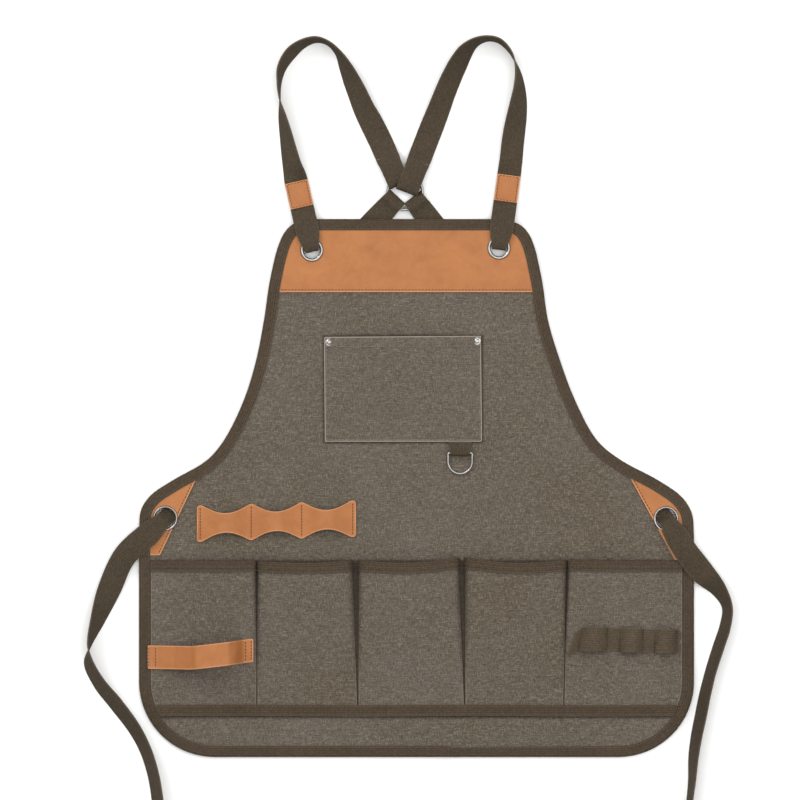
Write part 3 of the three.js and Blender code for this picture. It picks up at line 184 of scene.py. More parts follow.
# Ties outside the side eyelets: across, up, roll in degrees, raised over the binding
TIE_ROUTE = {
    "left": [(-1.05, 0.374, 0, 1), (-1.105, 0.314, 12, 0.25), (-1.148, 0.255, 55, 0),
             (-1.178, 0.207, 84, 0), (-1.181, 0.178, 112, 0), (-1.144, 0.139, 121, 0),
             (-1.083, 0.1, 125, 0), (-1.014, 0.052, 122, 0), (-0.975, 0.013, 119, 0),
             (-0.947, -0.033, 118, 0), (-0.932, -0.08, 118, 0), (-0.925, -0.113, 118, 0)],
    "right": [(0.966, 0.386, 0, 1.72), (1.032, 0.342, 8, 1.12), (1.089, 0.311, 52, 0),
              (1.119, 0.279, 67, 0), (1.112, 0.244, 66, 0), (1.087, 0.204, 65, 0),
              (1.06, 0.16, 66, 0), (1.04, 0.119, 65, 0), (1.024, 0.078, 64, 0),
              (1.007, 0.035, 66, 0), (0.997, -0.002, 69, 0), (0.992, -0.043, 75, 0),
              (0.984, -0.08, 78, 0), (0.978, -0.113, 78, 0)],
}

# Middle of the hem in the shared frame
binding_low, binding_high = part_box("edge_binding")
HEM_MIDDLE = np.array([(binding_low[0] + binding_high[0]) / 2, binding_low[1], 0.0])


def spot(place):
    return np.array([place[0] * HALF, place[1] * LENGTH])


def unit(v):
    return v / np.maximum(np.linalg.norm(v, axis=-1, keepdims=True), 1e-9)


def read(table, at):
    """Straight-line reading of a table of pairs."""
    keys, values = zip(*table)
    return np.interp(at, keys, values)


def soft_read(table, at, blur):
    """The same with its corners rounded over a distance."""
    return sum(read(table, np.asarray(at) + k * blur / 3) for k in (-3, -2, -1, 0, 1, 2, 3)) / 7


def lift_at(y):
    return LAYER * soft_read(LIFT, np.asarray(y) / LENGTH, 0.02)


def smooth_step(x, low, high):
    t = np.clip((np.asarray(x) - low) / (high - low), 0, 1)
    return t * t * (3 - 2 * t)


def curve_through(points, knots, counts):
    """Centripetal curve through rows of numbers, spaced by the distances between the knots."""
    points = np.asarray(points, float)
    knots = np.asarray(knots, float)
    ends = lambda a: np.vstack([2 * a[0] - a[1], a, 2 * a[-1] - a[-2]])
    p, k = ends(points), ends(knots)
    gaps = np.maximum(np.linalg.norm(np.diff(k, axis=0), axis=1) ** 0.5, 1e-3)
    out = [points[0]]
    for i, count in enumerate(counts):
        p0, p1, p2, p3 = p[i:i + 4]
        g0, g1, g2 = gaps[i:i + 3]
        t1 = g1 * ((p1 - p0) / g0 - (p2 - p0) / (g0 + g1) + (p2 - p1) / g1)
        t2 = g1 * ((p2 - p1) / g1 - (p3 - p1) / (g1 + g2) + (p3 - p2) / g2)
        for j in range(1, count + 1):
            t = j / count
            out.append(p1 + t1 * t + (3 * (p2 - p1) - 2 * t1 - t2) * t * t
                       + (2 * (p1 - p2) + t1 + t2) * t ** 3)
    return np.array(out)


def travelled(points):
    """Distance along a line at each of its points."""
    return np.r_[0, np.cumsum(np.linalg.norm(np.diff(points, axis=0), axis=1))]


def read_rows(rows, keys, marks):
    """Rows of numbers read at marks between their keys."""
    return np.stack([np.interp(marks, keys, column) for column in np.asarray(rows, float).T], 1)


def resample(points, step):
    """Evenly spaced points along a line."""
    lengths = travelled(points)
    count = max(2, int(round(lengths[-1] / step)) + 1)
    return read_rows(points, lengths, np.linspace(0, lengths[-1], count))


def apron_outline():
    """Outline of the apron, counter-clockwise from the hem's right corner."""
    r = HEM_CORNER_RADIUS
    turn = np.radians(np.linspace(0, 90, 19))
    right = np.stack([HALF - r + r * np.sin(turn), r - r * np.cos(turn)], 1)
    left = np.stack([r - HALF - r * np.cos(turn), r - r * np.sin(turn)], 1)
    armholes = {}
    for side, table in ARMHOLE.items():
        places = np.array([spot(row) for row in table])
        armholes[side] = curve_through(places, places, [5] * (len(places) - 1))
    return np.vstack([right, armholes["right"][::-1], armholes["left"], left])


def inward_normals(loop):
    tangent = unit(np.roll(loop, -1, 0) - np.roll(loop, 1, 0))
    return np.stack([-tangent[:, 1], tangent[:, 0]], 1)


OUTLINE = apron_outline()


def outline_loop(step):
    """The outline as evenly spaced points, without its first point again at the end."""
    return resample(np.vstack([OUTLINE, OUTLINE[:1]]), step)[:-1]


def sides_inside(distance):
    """The x of the left and right edges at a height, a distance inside the outline."""
    loop = outline_loop(3.0)
    moved = loop + distance * inward_normals(loop)
    middle, clear = 3, 60

    def edge(sign):
        half = moved[(moved[:, 0] - middle) * sign > clear]
        half = half[np.argsort(half[:, 1])]
        return lambda y: np.interp(y, half[:, 1], half[:, 0])

    return edge(-1), edge(1)


# Places held flat by a fitting: across, up
HELD_FLAT = [EYELETS["side_eyelet_left"][:2], EYELETS["side_eyelet_right"][:2], (RING_TAB_ACROSS, 0.565),
             *RIVETS.values()]


def drape(x, y):
    """Slight waves of the laid cloth, never below where it rests."""
    x, y = np.asarray(x, float), np.asarray(y, float)
    loose = 1 - smooth_step(y, 0.78 * LENGTH, 0.86 * LENGTH)
    for place in HELD_FLAT:
        px, py = spot(place)
        loose = loose * smooth_step(np.hypot(x - px, y - py), 22, 75)
    wave = (np.sin(x / 47 + 0.8 * np.sin(y / 61)) + np.sin(y / 39 + 1.1 * np.sin(x / 83) + 2)
            + 0.6 * np.sin((x + y) / 29 + 1) + 0.5 * np.sin((x - 1.3 * y) / 23))
    height, lowest = 0.2, -3.1
    return height * (wave - lowest) * loose


def ground(x, y):
    """Height of the laid cloth's foot: the lift by the straps under it and its waves."""
    return lift_at(y) + drape(x, y)


# Meshes

def make_object(name, points, faces, material, flat_map=None, border=None, sharp=()):
    """A mesh object from corners in millimetres, with its flat cut as a UV map in metres.

    The border is each corner's distance from the cut edges, in millimetres.
    """
    mesh = bpy.data.meshes.new(name)
    place = np.asarray(points, float) * IN_M + HEM_MIDDLE
    mesh.from_pydata(place.tolist(), [], [list(map(int, f)) for f in faces])
    mesh.validate()
    if flat_map is not None:
        loops = np.empty(len(mesh.loops), dtype=np.int32)
        mesh.loops.foreach_get("vertex_index", loops)
        layer = mesh.uv_layers.new(name="cut")
        layer.data.foreach_set("uv", (np.asarray(flat_map) * IN_M)[loops].ravel())
    if border is not None:
        attribute = mesh.attributes.new("border", 'FLOAT', 'POINT')
        attribute.data.foreach_set("value", np.asarray(border, np.float32))
    mesh.shade_smooth()
    marks = {tuple(sorted(pair)) for pair in sharp}
    for edge in mesh.edges if marks else ():
        if tuple(sorted(edge.vertices)) in marks:
            edge.use_edge_sharp = True
    piece = bpy.data.objects.new(name, mesh)
    bpy.context.scene.collection.objects.link(piece)
    mesh.materials.append(material)
    return piece


def dress(piece, nodes, slot, body=BODY):
    """A piece rides on a body and stands for the named solids."""
    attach(piece, body)
    if nodes:
        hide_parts(*nodes)
    return piece


def grid_normals(grid, up=True):
    """Normals of a grid, if wanted on the side that faces up on the whole."""
    normals = unit(np.cross(np.gradient(grid, axis=1), np.gradient(grid, axis=0)))
    return -normals if up and normals[..., 2].mean() < 0 else normals


def wall(name, node, cloth, grid, flat_map, holes=(), up=True):
    """A piece of cloth or leather for a node: a grid on the middle surface, thickened both ways."""
    thickness, material, slot = cloth
    rows, columns = grid.shape[:2]
    normals = grid_normals(grid, up)
    front = grid + normals * thickness / 2
    back = grid - normals * thickness / 2
    index = np.arange(rows * columns).reshape(rows, columns)
    quads = np.stack([index[:-1, :-1], index[:-1, 1:], index[1:, 1:], index[1:, :-1]], -1)
    quads = quads.reshape(-1, 4)
    flat = grid.reshape(-1, 3)
    if holes:
        middles = flat[quads].mean(1)
        keep = np.ones(len(quads), bool)
        for x, y, radius in holes:
            keep &= np.hypot(middles[:, 0] - x, middles[:, 1] - y) > radius
        quads = quads[keep]
    count = rows * columns
    a, b, c = flat[quads[:, 0]], flat[quads[:, 1]], flat[quads[:, 2]]
    along = (np.cross(b - a, c - a) * normals.reshape(-1, 3)[quads[:, 0]]).sum(1).mean()
    if along < 0:
        quads = quads[:, ::-1]
    edges = {}
    for quad in quads:
        for i in range(4):
            pair = (quad[i], quad[(i + 1) % 4])
            key = (min(pair), max(pair))
            edges[key] = None if key in edges else pair
    rims = [pair for pair in edges.values() if pair is not None]
    rim_faces = [(p[1], p[0], p[0] + count, p[1] + count) for p in rims]
    faces = [*quads.tolist(), *(quads[:, ::-1] + count).tolist(), *rim_faces]
    border = np.minimum.reduce([
        np.linalg.norm(grid - grid[:1], axis=2), np.linalg.norm(grid - grid[-1:], axis=2),
        np.linalg.norm(grid - grid[:, :1], axis=2), np.linalg.norm(grid - grid[:, -1:], axis=2),
    ]).ravel()
    for x, y, radius in holes:
        border = np.minimum(border, np.abs(np.hypot(flat[:, 0] - x, flat[:, 1] - y) - radius))
    sharp = [*rims, *((p[0] + count, p[1] + count) for p in rims)]
    spread = np.vstack([flat_map.reshape(-1, 2)] * 2)
    piece = make_object(name, np.vstack([front.reshape(-1, 3), back.reshape(-1, 3)]), faces, material,
                        spread, np.tile(border, 2), sharp)
    return dress(piece, [node], slot)


def between(left, right, count):
    """Places from one edge to the other, row by row."""
    shares = np.linspace(0, 1, count)
    return left[:, None] + (right - left)[:, None] * shares[None, :]


def flat_sheet(name, node, cloth, ys, lefts, rights, columns, height, holes=()):
    """A flat sewn piece between two edges, lying at a height over the lifted floor."""
    x = between(np.asarray(lefts, float), np.asarray(rights, float), columns)
    y = np.repeat(np.asarray(ys, float)[:, None], columns, 1)
    grid = np.stack([x, y, ground(x, y) + height], -1)
    return wall(name, node, cloth, grid, grid[..., :2].copy(), holes)


def cut_map(across, along):
    """Flat places of a grid from its distances across and along."""
    return np.stack(np.broadcast_arrays(across, along), -1)


def circle(sides):
    return np.linspace(0, 2 * math.pi, sides, endpoint=False)


def rings_round(middles, side, up, radius, angles):
    """Circles of points round places on a line."""
    turn = np.cos(angles)[None, :, None] * side[:, None] + np.sin(angles)[None, :, None] * up[:, None]
    return middles[:, None] + radius * turn


def ring_faces(count, sides, closed):
    """Faces between rings of points, also from the last ring to the first where it is closed."""
    faces = []
    for i in range(count if closed else count - 1):
        n = (i + 1) % count
        for j in range(sides):
            k = (j + 1) % sides
            faces.append((i * sides + j, n * sides + j, n * sides + k, i * sides + k))
    return faces


def lathe(name, place, section, material, sides):
    """A turned metal piece from rows of radius and height, closed on itself or at the axis."""
    x, y = spot(place)
    base = float(ground(x, y))
    points = [[x + r * math.cos(a), y + r * math.sin(a), base + h] for r, h in section for a in circle(sides)]
    closed = section[0][0] > 0
    piece = make_object(name, points, ring_faces(len(section), sides, closed), material)
    clean_up(piece)
    return piece


def clean_up(piece):
    """Merge corners that fell together and turn all faces outwards."""
    work = bmesh.new()
    work.from_mesh(piece.data)
    bmesh.ops.remove_doubles(work, verts=work.verts, dist=1e-6)
    bmesh.ops.dissolve_degenerate(work, dist=1e-7, edges=work.edges)
    bmesh.ops.recalc_face_normals(work, faces=work.faces)
    work.to_mesh(piece.data)
    work.free()


def rounded(section, radius, steps=4):
    """A closed section with its corners rounded."""
    section = np.asarray(section, float)
    out = []
    for i, corner in enumerate(section):
        before = section[i - 1] - corner
        after = section[(i + 1) % len(section)] - corner
        reach = min(radius, 0.45 * np.linalg.norm(before), 0.45 * np.linalg.norm(after))
        start = corner + unit(before) * reach
        end = corner + unit(after) * reach
        for k in range(steps + 1):
            t = k / steps
            out.append((1 - t) ** 2 * start + 2 * t * (1 - t) * corner + t * t * end)
    return np.array(out)


def tube(name, path, radius, material, sides=14):
    """Round wire along a closed path."""
    path = np.asarray(path, float)
    tangent = unit(np.roll(path, -1, 0) - np.roll(path, 1, 0))
    up = unit(np.cross(tangent, np.cross([0, 0, 1.0], tangent)))
    rings = rings_round(path, np.cross(tangent, up), up, radius, circle(sides))
    return make_object(name, rings.reshape(-1, 3), ring_faces(len(path), sides, True), material)


# Rings of a stitch: share from start to end, radius, height over the cloth
STITCH_RINGS = [(0, 0.5, -0.5), (0.14, 0.95, 0.35), (0.5, 1.05, 0.6), (0.86, 0.95, 0.35), (1, 0.5, -0.5)]
STITCH_SIDES = 6


def stitches(name, runs, slot, material, length=2.9, spacing=0.9, radius=0.27):
    """Thread stitches that dip into the cloth at both ends, along lines of points and normals."""
    parts = []
    for points, normals in runs:
        lengths = travelled(points)
        count = max(1, int(lengths[-1] / (length + spacing)))
        marks = (np.arange(count) + 0.5) * lengths[-1] / count
        places = [read_rows(points, lengths, marks + shift) for shift in (-length / 2, 0, length / 2)]
        parts.append([*places, unit(read_rows(normals, lengths, marks))])
    start, middle, end, up = (np.vstack(rows) for rows in zip(*parts))
    side = np.cross(up, unit(end - start))
    bow = middle - (start + end) / 2
    rings = []
    for share, wide, high in STITCH_RINGS:
        centre = start + (end - start) * share + bow * 4 * share * (1 - share) + up * radius * high
        rings.append(rings_round(centre, side, up, radius * wide, circle(STITCH_SIDES)))
    size = STITCH_SIDES * len(rings)
    one = [*ring_faces(len(rings), STITCH_SIDES, False), range(STITCH_SIDES),
           range(size - 1, size - STITCH_SIDES - 1, -1)]
    faces = [[n * size + corner for corner in face] for n in range(len(start)) for face in one]
    piece = make_object(name, np.stack(rings, 1).reshape(-1, 3), faces, material)
    return dress(piece, [], slot)


def on_layer(points, height):
    """A line of places in plan set on a layer of the laid cloth, with upright normals."""
    points = np.asarray(points, float)
    z = ground(points[:, 0], points[:, 1]) + height
    return np.column_stack([points, z]), np.tile([0.0, 0.0, 1.0], (len(points), 1))


def row_across(start, end, normal):
    """A straight row for stitches on a face, with its normals."""
    points = resample(np.array([start, end]), 3.0)
    return points, np.tile(normal, (len(points), 1))


def line(start, end, step=4.0):
    return resample(np.array([start, end], float), step)


# Materials

class Nodes:
    """A shader tree with short ways to add and join its nodes."""

    def __init__(self, tree, place=None):
        self.tree = tree
        self.place = place

    def add(self, kind, values=None, **settings):
        node = self.tree.nodes.new("ShaderNode" + kind)
        for key, value in settings.items():
            setattr(node, key, value)
        for key, value in (values or {}).items():
            if isinstance(value, bpy.types.NodeSocket):
                self.tree.links.new(value, node.inputs[key])
            else:
                node.inputs[key].default_value = value
        return node

    def calc(self, operation, *terms):
        return self.add("Math", dict(enumerate(terms)), operation=operation).outputs[0]

    def vector(self, operation, *terms, **more):
        return self.add("VectorMath", {**dict(enumerate(terms)), **more}, operation=operation).outputs[0]

    def noise(self, place, scale, **more):
        return self.add("TexNoise", {"Vector": place, "Scale": scale, **more}).outputs[0]

    def span(self, value, low, high):
        """How far a value is on the way from low to high."""
        return self.add("MapRange", {0: value, 1: low, 2: high}).outputs[0]

    def fade(self, distance, reach):
        """One at no distance, falling softly to nothing at the reach."""
        values = {0: distance, 1: 0.0, 2: reach, 3: 1.0, 4: 0.0}
        return self.add("MapRange", values, interpolation_type='SMOOTHSTEP').outputs[0]

    def blend(self, share, a, b):
        return self.add("Mix", {"Factor": share, 6: a, 7: b}, data_type='RGBA').outputs[2]

    def use(self, group, **values):
        """What a group of nodes gives at the tree's own place."""
        return self.add("Group", {"Place": self.place, **values}, node_tree=group).outputs


def shader_group(name, numbers, outputs, vectors=()):
    """An empty group of nodes with its sockets, and the way to join each output."""
    tree = bpy.data.node_groups.new(name, 'ShaderNodeTree')
    for kind, labels in (("Vector", ["Place", *vectors]), ("Float", numbers)):
        for label in labels:
            tree.interface.new_socket(label, in_out='INPUT', socket_type='NodeSocket' + kind)
    for label in outputs:
        tree.interface.new_socket(label, in_out='OUTPUT', socket_type='NodeSocketFloat')
    entry = tree.nodes.new('NodeGroupInput')
    leave = tree.nodes.new('NodeGroupOutput')

    def finish(label, socket):
        tree.links.new(socket, leave.inputs[label])

    return Nodes(tree, entry.outputs["Place"]), entry.outputs, finish


def weave_group():
    """Threads crossing over and under, slightly uneven: so many a metre each way."""
    nodes, given, finish = shader_group("woven_threads", ["Warp", "Weft", "Unevenness"],
                                        ["Height", "Thread tone"])
    calc = nodes.calc
    wander = nodes.noise(nodes.place, 260.0, Detail=2.0)
    shift = calc("MULTIPLY", calc("SUBTRACT", wander, 0.5), given["Unevenness"])
    parts = nodes.add("SeparateXYZ", {0: nodes.place}).outputs

    def thread(part, count):
        turns = calc("ADD", calc("MULTIPLY", part, count), shift)
        return calc("SINE", calc("MULTIPLY", turns, 2 * math.pi))

    warp, weft = thread(parts[0], given["Warp"]), thread(parts[1], given["Weft"])
    finish("Height", calc("MULTIPLY_ADD", calc("MULTIPLY", warp, weft), 0.5, 0.5))
    finish("Thread tone", calc("MULTIPLY_ADD", calc("ADD", warp, weft), 0.25, 0.5))
    return nodes.tree


def slub_group():
    """Thick and thin yarns of mixed tone, running both ways."""
    nodes, given, finish = shader_group("slub_yarns", ["Size", "Stretch"], ["Light yarn", "Dark yarn"])
    short = given["Size"]
    long = nodes.calc("DIVIDE", short, given["Stretch"])

    def yarn(across, along, seed):
        scale = nodes.add("CombineXYZ", {0: across, 1: along, 2: 1.0}).outputs[0]
        moved = nodes.vector("MULTIPLY", nodes.place, scale)
        offset = nodes.vector("ADD", moved, (seed, seed * 2, seed))
        return nodes.noise(offset, 1.0, Detail=1.5, Roughness=0.6)

    for label, first, second in (("Light yarn", 3.1, 11.7), ("Dark yarn", 23.9, 41.3)):
        both = nodes.calc("MAXIMUM", yarn(short, long, first), yarn(long, short, second))
        finish(label, nodes.span(both, 0.5, 0.74))
    return nodes.tree


def mottle_group():
    """Broad clouds of tone."""
    nodes, given, finish = shader_group("cloudy_tone", ["Size", "Sharpness"], ["Mask"])
    cloud = nodes.noise(nodes.place, given["Size"], Detail=5.0, Roughness=0.6, Distortion=0.4)
    low = nodes.calc("SUBTRACT", 0.5, given["Sharpness"])
    high = nodes.calc("ADD", 0.5, given["Sharpness"])
    finish("Mask", nodes.span(cloud, low, high))
    return nodes.tree


def border_group():
    """Mask along the cut edges of a piece, its width in millimetres, broken up by noise."""
    nodes, given, finish = shader_group("along_edges", ["Width", "Raggedness"], ["Mask"])
    border = nodes.add("Attribute", attribute_name="border").outputs["Fac"]
    rough = nodes.noise(nodes.place, 320.0, Detail=3.0)
    shift = nodes.calc("MULTIPLY", nodes.calc("SUBTRACT", rough, 0.5), given["Raggedness"])
    finish("Mask", nodes.fade(nodes.calc("ADD", border, shift), given["Width"]))
    return nodes.tree


def patch_shade_group():
    """Painted shade under a sewn-on patch and in the crease round it, fading out over the reach, in the cut's
    own plan.
    """
    nodes, given, finish = shader_group("painted_shade_round_patch", ["Reach"], ["Mask"], ["Middle", "Size"])
    away = nodes.vector("ABSOLUTE", nodes.vector("SUBTRACT", nodes.place, given["Middle"]))
    out = nodes.vector("SUBTRACT", away, nodes.vector("SCALE", given["Size"], Scale=0.5))
    out = nodes.vector("MAXIMUM", out, (0.0, 0.0, 0.0))
    distance = nodes.add("VectorMath", {0: out}, operation='LENGTH').outputs["Value"]
    finish("Mask", nodes.fade(distance, given["Reach"]))
    return nodes.tree


def grain_group():
    """Pebbled leather grain with creases."""
    nodes, given, finish = shader_group("leather_grain", ["Size"], ["Height", "Crease"])
    wander = nodes.add("TexNoise", {"Vector": nodes.place, "Scale": 180.0, "Detail": 3.0})
    push = nodes.vector("SCALE", wander.outputs[1], Scale=0.0009)
    moved = nodes.vector("ADD", nodes.place, push)
    cells = nodes.add("TexVoronoi", {"Vector": moved, "Scale": given["Size"]},
                      feature='DISTANCE_TO_EDGE').outputs[0]
    crease = nodes.span(cells, 0.0, 0.22)
    fine = nodes.noise(nodes.place, 2400.0, Detail=2.0)
    finish("Height", nodes.calc("MULTIPLY_ADD", fine, 0.25, nodes.calc("MULTIPLY", crease, 0.75)))
    finish("Crease", nodes.calc("SUBTRACT", 1.0, crease))
    return nodes.tree


WOVEN = weave_group()
SLUBS = slub_group()
CLOUDS = mottle_group()
EDGES = border_group()
PATCH_SHADE = patch_shade_group()
GRAIN = grain_group()


def srgb(red, green, blue):
    """A colour as a paint swatch gives it, made linear."""
    return tuple(((c / 255 + 0.055) / 1.055) ** 2.4 for c in (red, green, blue)) + (1.0,)


class Look(Nodes):
    """A new material, painted in layers over the piece's flat cut or its solid form."""

    def __init__(self, name, on_cut=True):
        self.material = bpy.data.materials.new(name)
        self.material.use_nodes = True
        super().__init__(self.material.node_tree)
        self.tree.nodes.clear()
        place = self.add("UVMap", uv_map="cut") if on_cut else self.add("TexCoord")
        self.place = place.outputs["UV" if on_cut else "Object"]

    def clouds(self, size, sharpness):
        return self.use(CLOUDS, Size=size, Sharpness=sharpness)["Mask"]

    def edge(self, width, raggedness):
        return self.use(EDGES, Width=width, Raggedness=raggedness)["Mask"]

    def paint(self, clouds, dark, light, layers=()):
        """Two cloudy colours, and layers over them: where, how strong, colour."""
        colour = self.blend(clouds, srgb(*dark), srgb(*light))
        for mask, strength, tone in layers:
            colour = self.blend(self.calc("MULTIPLY", mask, strength), colour, srgb(*tone))
        return colour

    def finish(self, colour, roughness, relief=None, specular=0.5, metallic=0.0):
        """The surface; its relief is given as strength, depth in metres and height."""
        values = {"Base Color": colour, "Roughness": roughness, "Specular IOR Level": specular,
                  "Metallic": metallic}
        if relief:
            bump = self.add("Bump", dict(zip(("Strength", "Distance", "Height"), relief)))
            values["Normal"] = bump.outputs[0]
        self.add("OutputMaterial", {0: self.add("BsdfPrincipled", values).outputs[0]})
        return self.material


def canvas_material(name, rubbed_and_highlit, patches=()):
    """Heathered canvas: grey-olive threads with pale and dark slubs; its cut edges pale from wear and painted
    highlight, with painted shade at the cut and round patches.
    """
    look = Look(name)
    yarn = look.use(SLUBS, Size=1100.0, Stretch=6.5)
    fine = look.use(SLUBS, Size=2300.0, Stretch=6.0)
    weave = look.use(WOVEN, Warp=760.0, Weft=700.0, Unevenness=1.1)
    pale, dark = (140, 130, 117), (36, 30, 24)
    layers = [(look.clouds(26.0, 0.2), 0.45, (76, 66, 49)),
              (yarn["Light yarn"], 0.72, pale), (yarn["Dark yarn"], 0.7, dark),
              (fine["Light yarn"], 0.45, pale), (fine["Dark yarn"], 0.45, dark),
              (weave["Thread tone"], 0.3, (98, 90, 79)),
              # Pale band along the cut edges, partly rubbed wear and partly painted highlight; the thin dark
              # line at the cut itself is painted shade
              (look.edge(1.7, 0.5), rubbed_and_highlit, (156, 146, 133)), (look.edge(0.4, 0.2), 0.7, (50, 43, 33))]
    # Painted shade under the sewn-on patches and in the creases round them
    for middle, size in patches:
        patch_shade = look.use(PATCH_SHADE, Middle=middle, Size=size, Reach=0.0038)
        layers.append((patch_shade["Mask"], 0.62, (40, 34, 26)))
    colour = look.paint(look.clouds(6.0, 0.16), (70, 61, 47), (87, 80, 77), layers)
    rough = look.calc("MULTIPLY_ADD", yarn["Light yarn"], -0.08, 0.93)
    height = look.calc("MULTIPLY_ADD", yarn["Light yarn"], 0.5, weave["Height"])
    return look.finish(colour, rough, (0.6, 0.0004, height), specular=0.12)


def tape_material(name, dark, light, ribs, threads, depth):
    """Twill tape or webbing: lengthwise ribs with painted shade in their grooves, cross threads and a worn
    pale edge.
    """
    look = Look(name)
    rib = look.use(WOVEN, Warp=ribs, Weft=0.0, Unevenness=0.5)
    weave = look.use(WOVEN, Warp=900.0, Weft=threads, Unevenness=0.9)
    yarn = look.use(SLUBS, Size=1300.0, Stretch=3.5)
    colour = look.paint(look.clouds(16.0, 0.22), dark, light, [
        (yarn["Light yarn"], 0.4, (118, 105, 88)), (yarn["Dark yarn"], 0.45, (30, 25, 19)),
        # Dark rib tone lies where the bump is lowest: painted shade in the grooves between ribs, as strong as
        # the depth argument
        (weave["Thread tone"], 0.2, (98, 86, 71)), (rib["Thread tone"], depth, (32, 27, 20)),
        (look.edge(1.3, 0.8), 0.35, (104, 91, 75))])
    rough = look.calc("MULTIPLY_ADD", weave["Height"], -0.08, 0.92)
    height = look.calc("MULTIPLY_ADD", rib["Thread tone"], -2.0, weave["Height"])
    return look.finish(colour, rough, (0.7, 0.0004, height), specular=0.1)


def leather_material():
    """Tan leather: cloudy orange-brown, pebbled, with a pale edge that is partly wear and partly painted
    highlight, and a dark cut that is partly painted shade.
    """
    look = Look("tan_leather")
    cloud = look.clouds(22.0, 0.24)
    grain = look.use(GRAIN, Size=1150.0)
    colour = look.paint(cloud, (149, 90, 45), (169, 108, 58), [
        (look.clouds(75.0, 0.2), 0.36, (184, 124, 76)), (grain["Crease"], 0.25, (112, 62, 30)),
        # Pale edge band, partly worn and partly painted highlight; dark line at the cut, partly the cut's own
        # colour and partly painted shade
        (look.edge(1.9, 0.5), 0.6, (206, 150, 106)), (look.edge(0.35, 0.15), 0.8, (88, 44, 24))])
    rough = look.calc("MULTIPLY_ADD", cloud, 0.1, look.calc("MULTIPLY_ADD", grain["Crease"], 0.12, 0.47))
    return look.finish(colour, rough, (0.45, 0.0003, grain["Height"]), specular=0.35)


def metal_material():
    """Nickel plate, faintly scuffed."""
    look = Look("nickel_plate", on_cut=False)
    scuff = look.clouds(420.0, 0.16)
    colour = look.paint(look.clouds(90.0, 0.25), (138, 135, 132), (166, 164, 162),
                        [(scuff, 0.3, (96, 92, 88))])
    rough = look.calc("MULTIPLY_ADD", scuff, 0.14, 0.2)
    return look.finish(colour, rough, (0.12, 0.0002, scuff), metallic=1.0)


def thread_material(name, dark, light):
    """Twisted sewing thread."""
    look = Look(name, on_cut=False)
    cloud = look.clouds(260.0, 0.2)
    fibre = look.noise(look.place, 5200.0, Detail=2.0)
    rough = look.calc("MULTIPLY_ADD", cloud, 0.1, 0.75)
    return look.finish(look.paint(cloud, dark, light), rough, (0.5, 0.0002, fibre))


def shaded_round(across, up, width, height):
    """Middle and size in metres of a patch that painted shade lies under and round; both as the cut has them.
    """
    return (across * IN_M, up * IN_M, 0.0), (width * IN_M, height * IN_M, 1.0)


ROW_FOOT = BASE_TAPE_HEIGHT - BASE_TAPE_WIDTH / 2
POCKET_LEFT, POCKET_TOP = spot(CHEST_POCKET["topLeft"])
POCKET_RIGHT = CHEST_POCKET["footRight"][0] * HALF
POCKET_FOOT = CHEST_POCKET["footLeft"][1] * LENGTH
# Patches of the panel that painted shade lies under and round
CHEST_PATCH = shaded_round((POCKET_LEFT + POCKET_RIGHT) / 2, (POCKET_TOP + POCKET_FOOT) / 2,
                           0.5675 * HALF, 0.196 * LENGTH)
ROW_PATCH = shaded_round(0.0, (POCKET_ROW_HEIGHT + ROW_FOOT) / 2, 2.1 * HALF, POCKET_ROW_HEIGHT - ROW_FOOT)
# Cloths and leather: thickness, look, slot
PANEL_CLOTH = (CANVAS, canvas_material("panel_canvas", 0.3, [CHEST_PATCH, ROW_PATCH]), "canvas")
CHEST_POCKET_CLOTH = (CANVAS, canvas_material("chest_pocket_canvas", 0.95), "canvas")
POCKET_CLOTH = (CANVAS, canvas_material("pocket_canvas", 0.22), "canvas")
TWILL = (TAPE, tape_material("twill_tape", (69, 57, 44), (82, 70, 56), 430.0, 620.0, 0.6), "binding")
RIBBED = (WEBBING, tape_material("ribbed_webbing", (58, 50, 39), (72, 62, 50), 400.0, 700.0, 0.35), "webbing")
LOOP_TAPE = (TAPE, tape_material("loop_webbing", (77, 66, 52), (92, 81, 66), 400.0, 620.0, 0.45), "webbing")
TAN = (LEATHER, leather_material(), "leather")
METAL_LOOK = metal_material()
OLIVE_THREAD = thread_material("olive_thread", (74, 64, 51), (92, 82, 67))
PALE_SEAM_THREAD = thread_material("faded_olive_thread", (106, 96, 82), (126, 116, 100))
BROWN_THREAD = thread_material("brown_thread", (58, 31, 18), (78, 44, 26))
PALE_THREAD = thread_material("pale_thread", (150, 138, 120), (172, 160, 142))


# Camera and studio

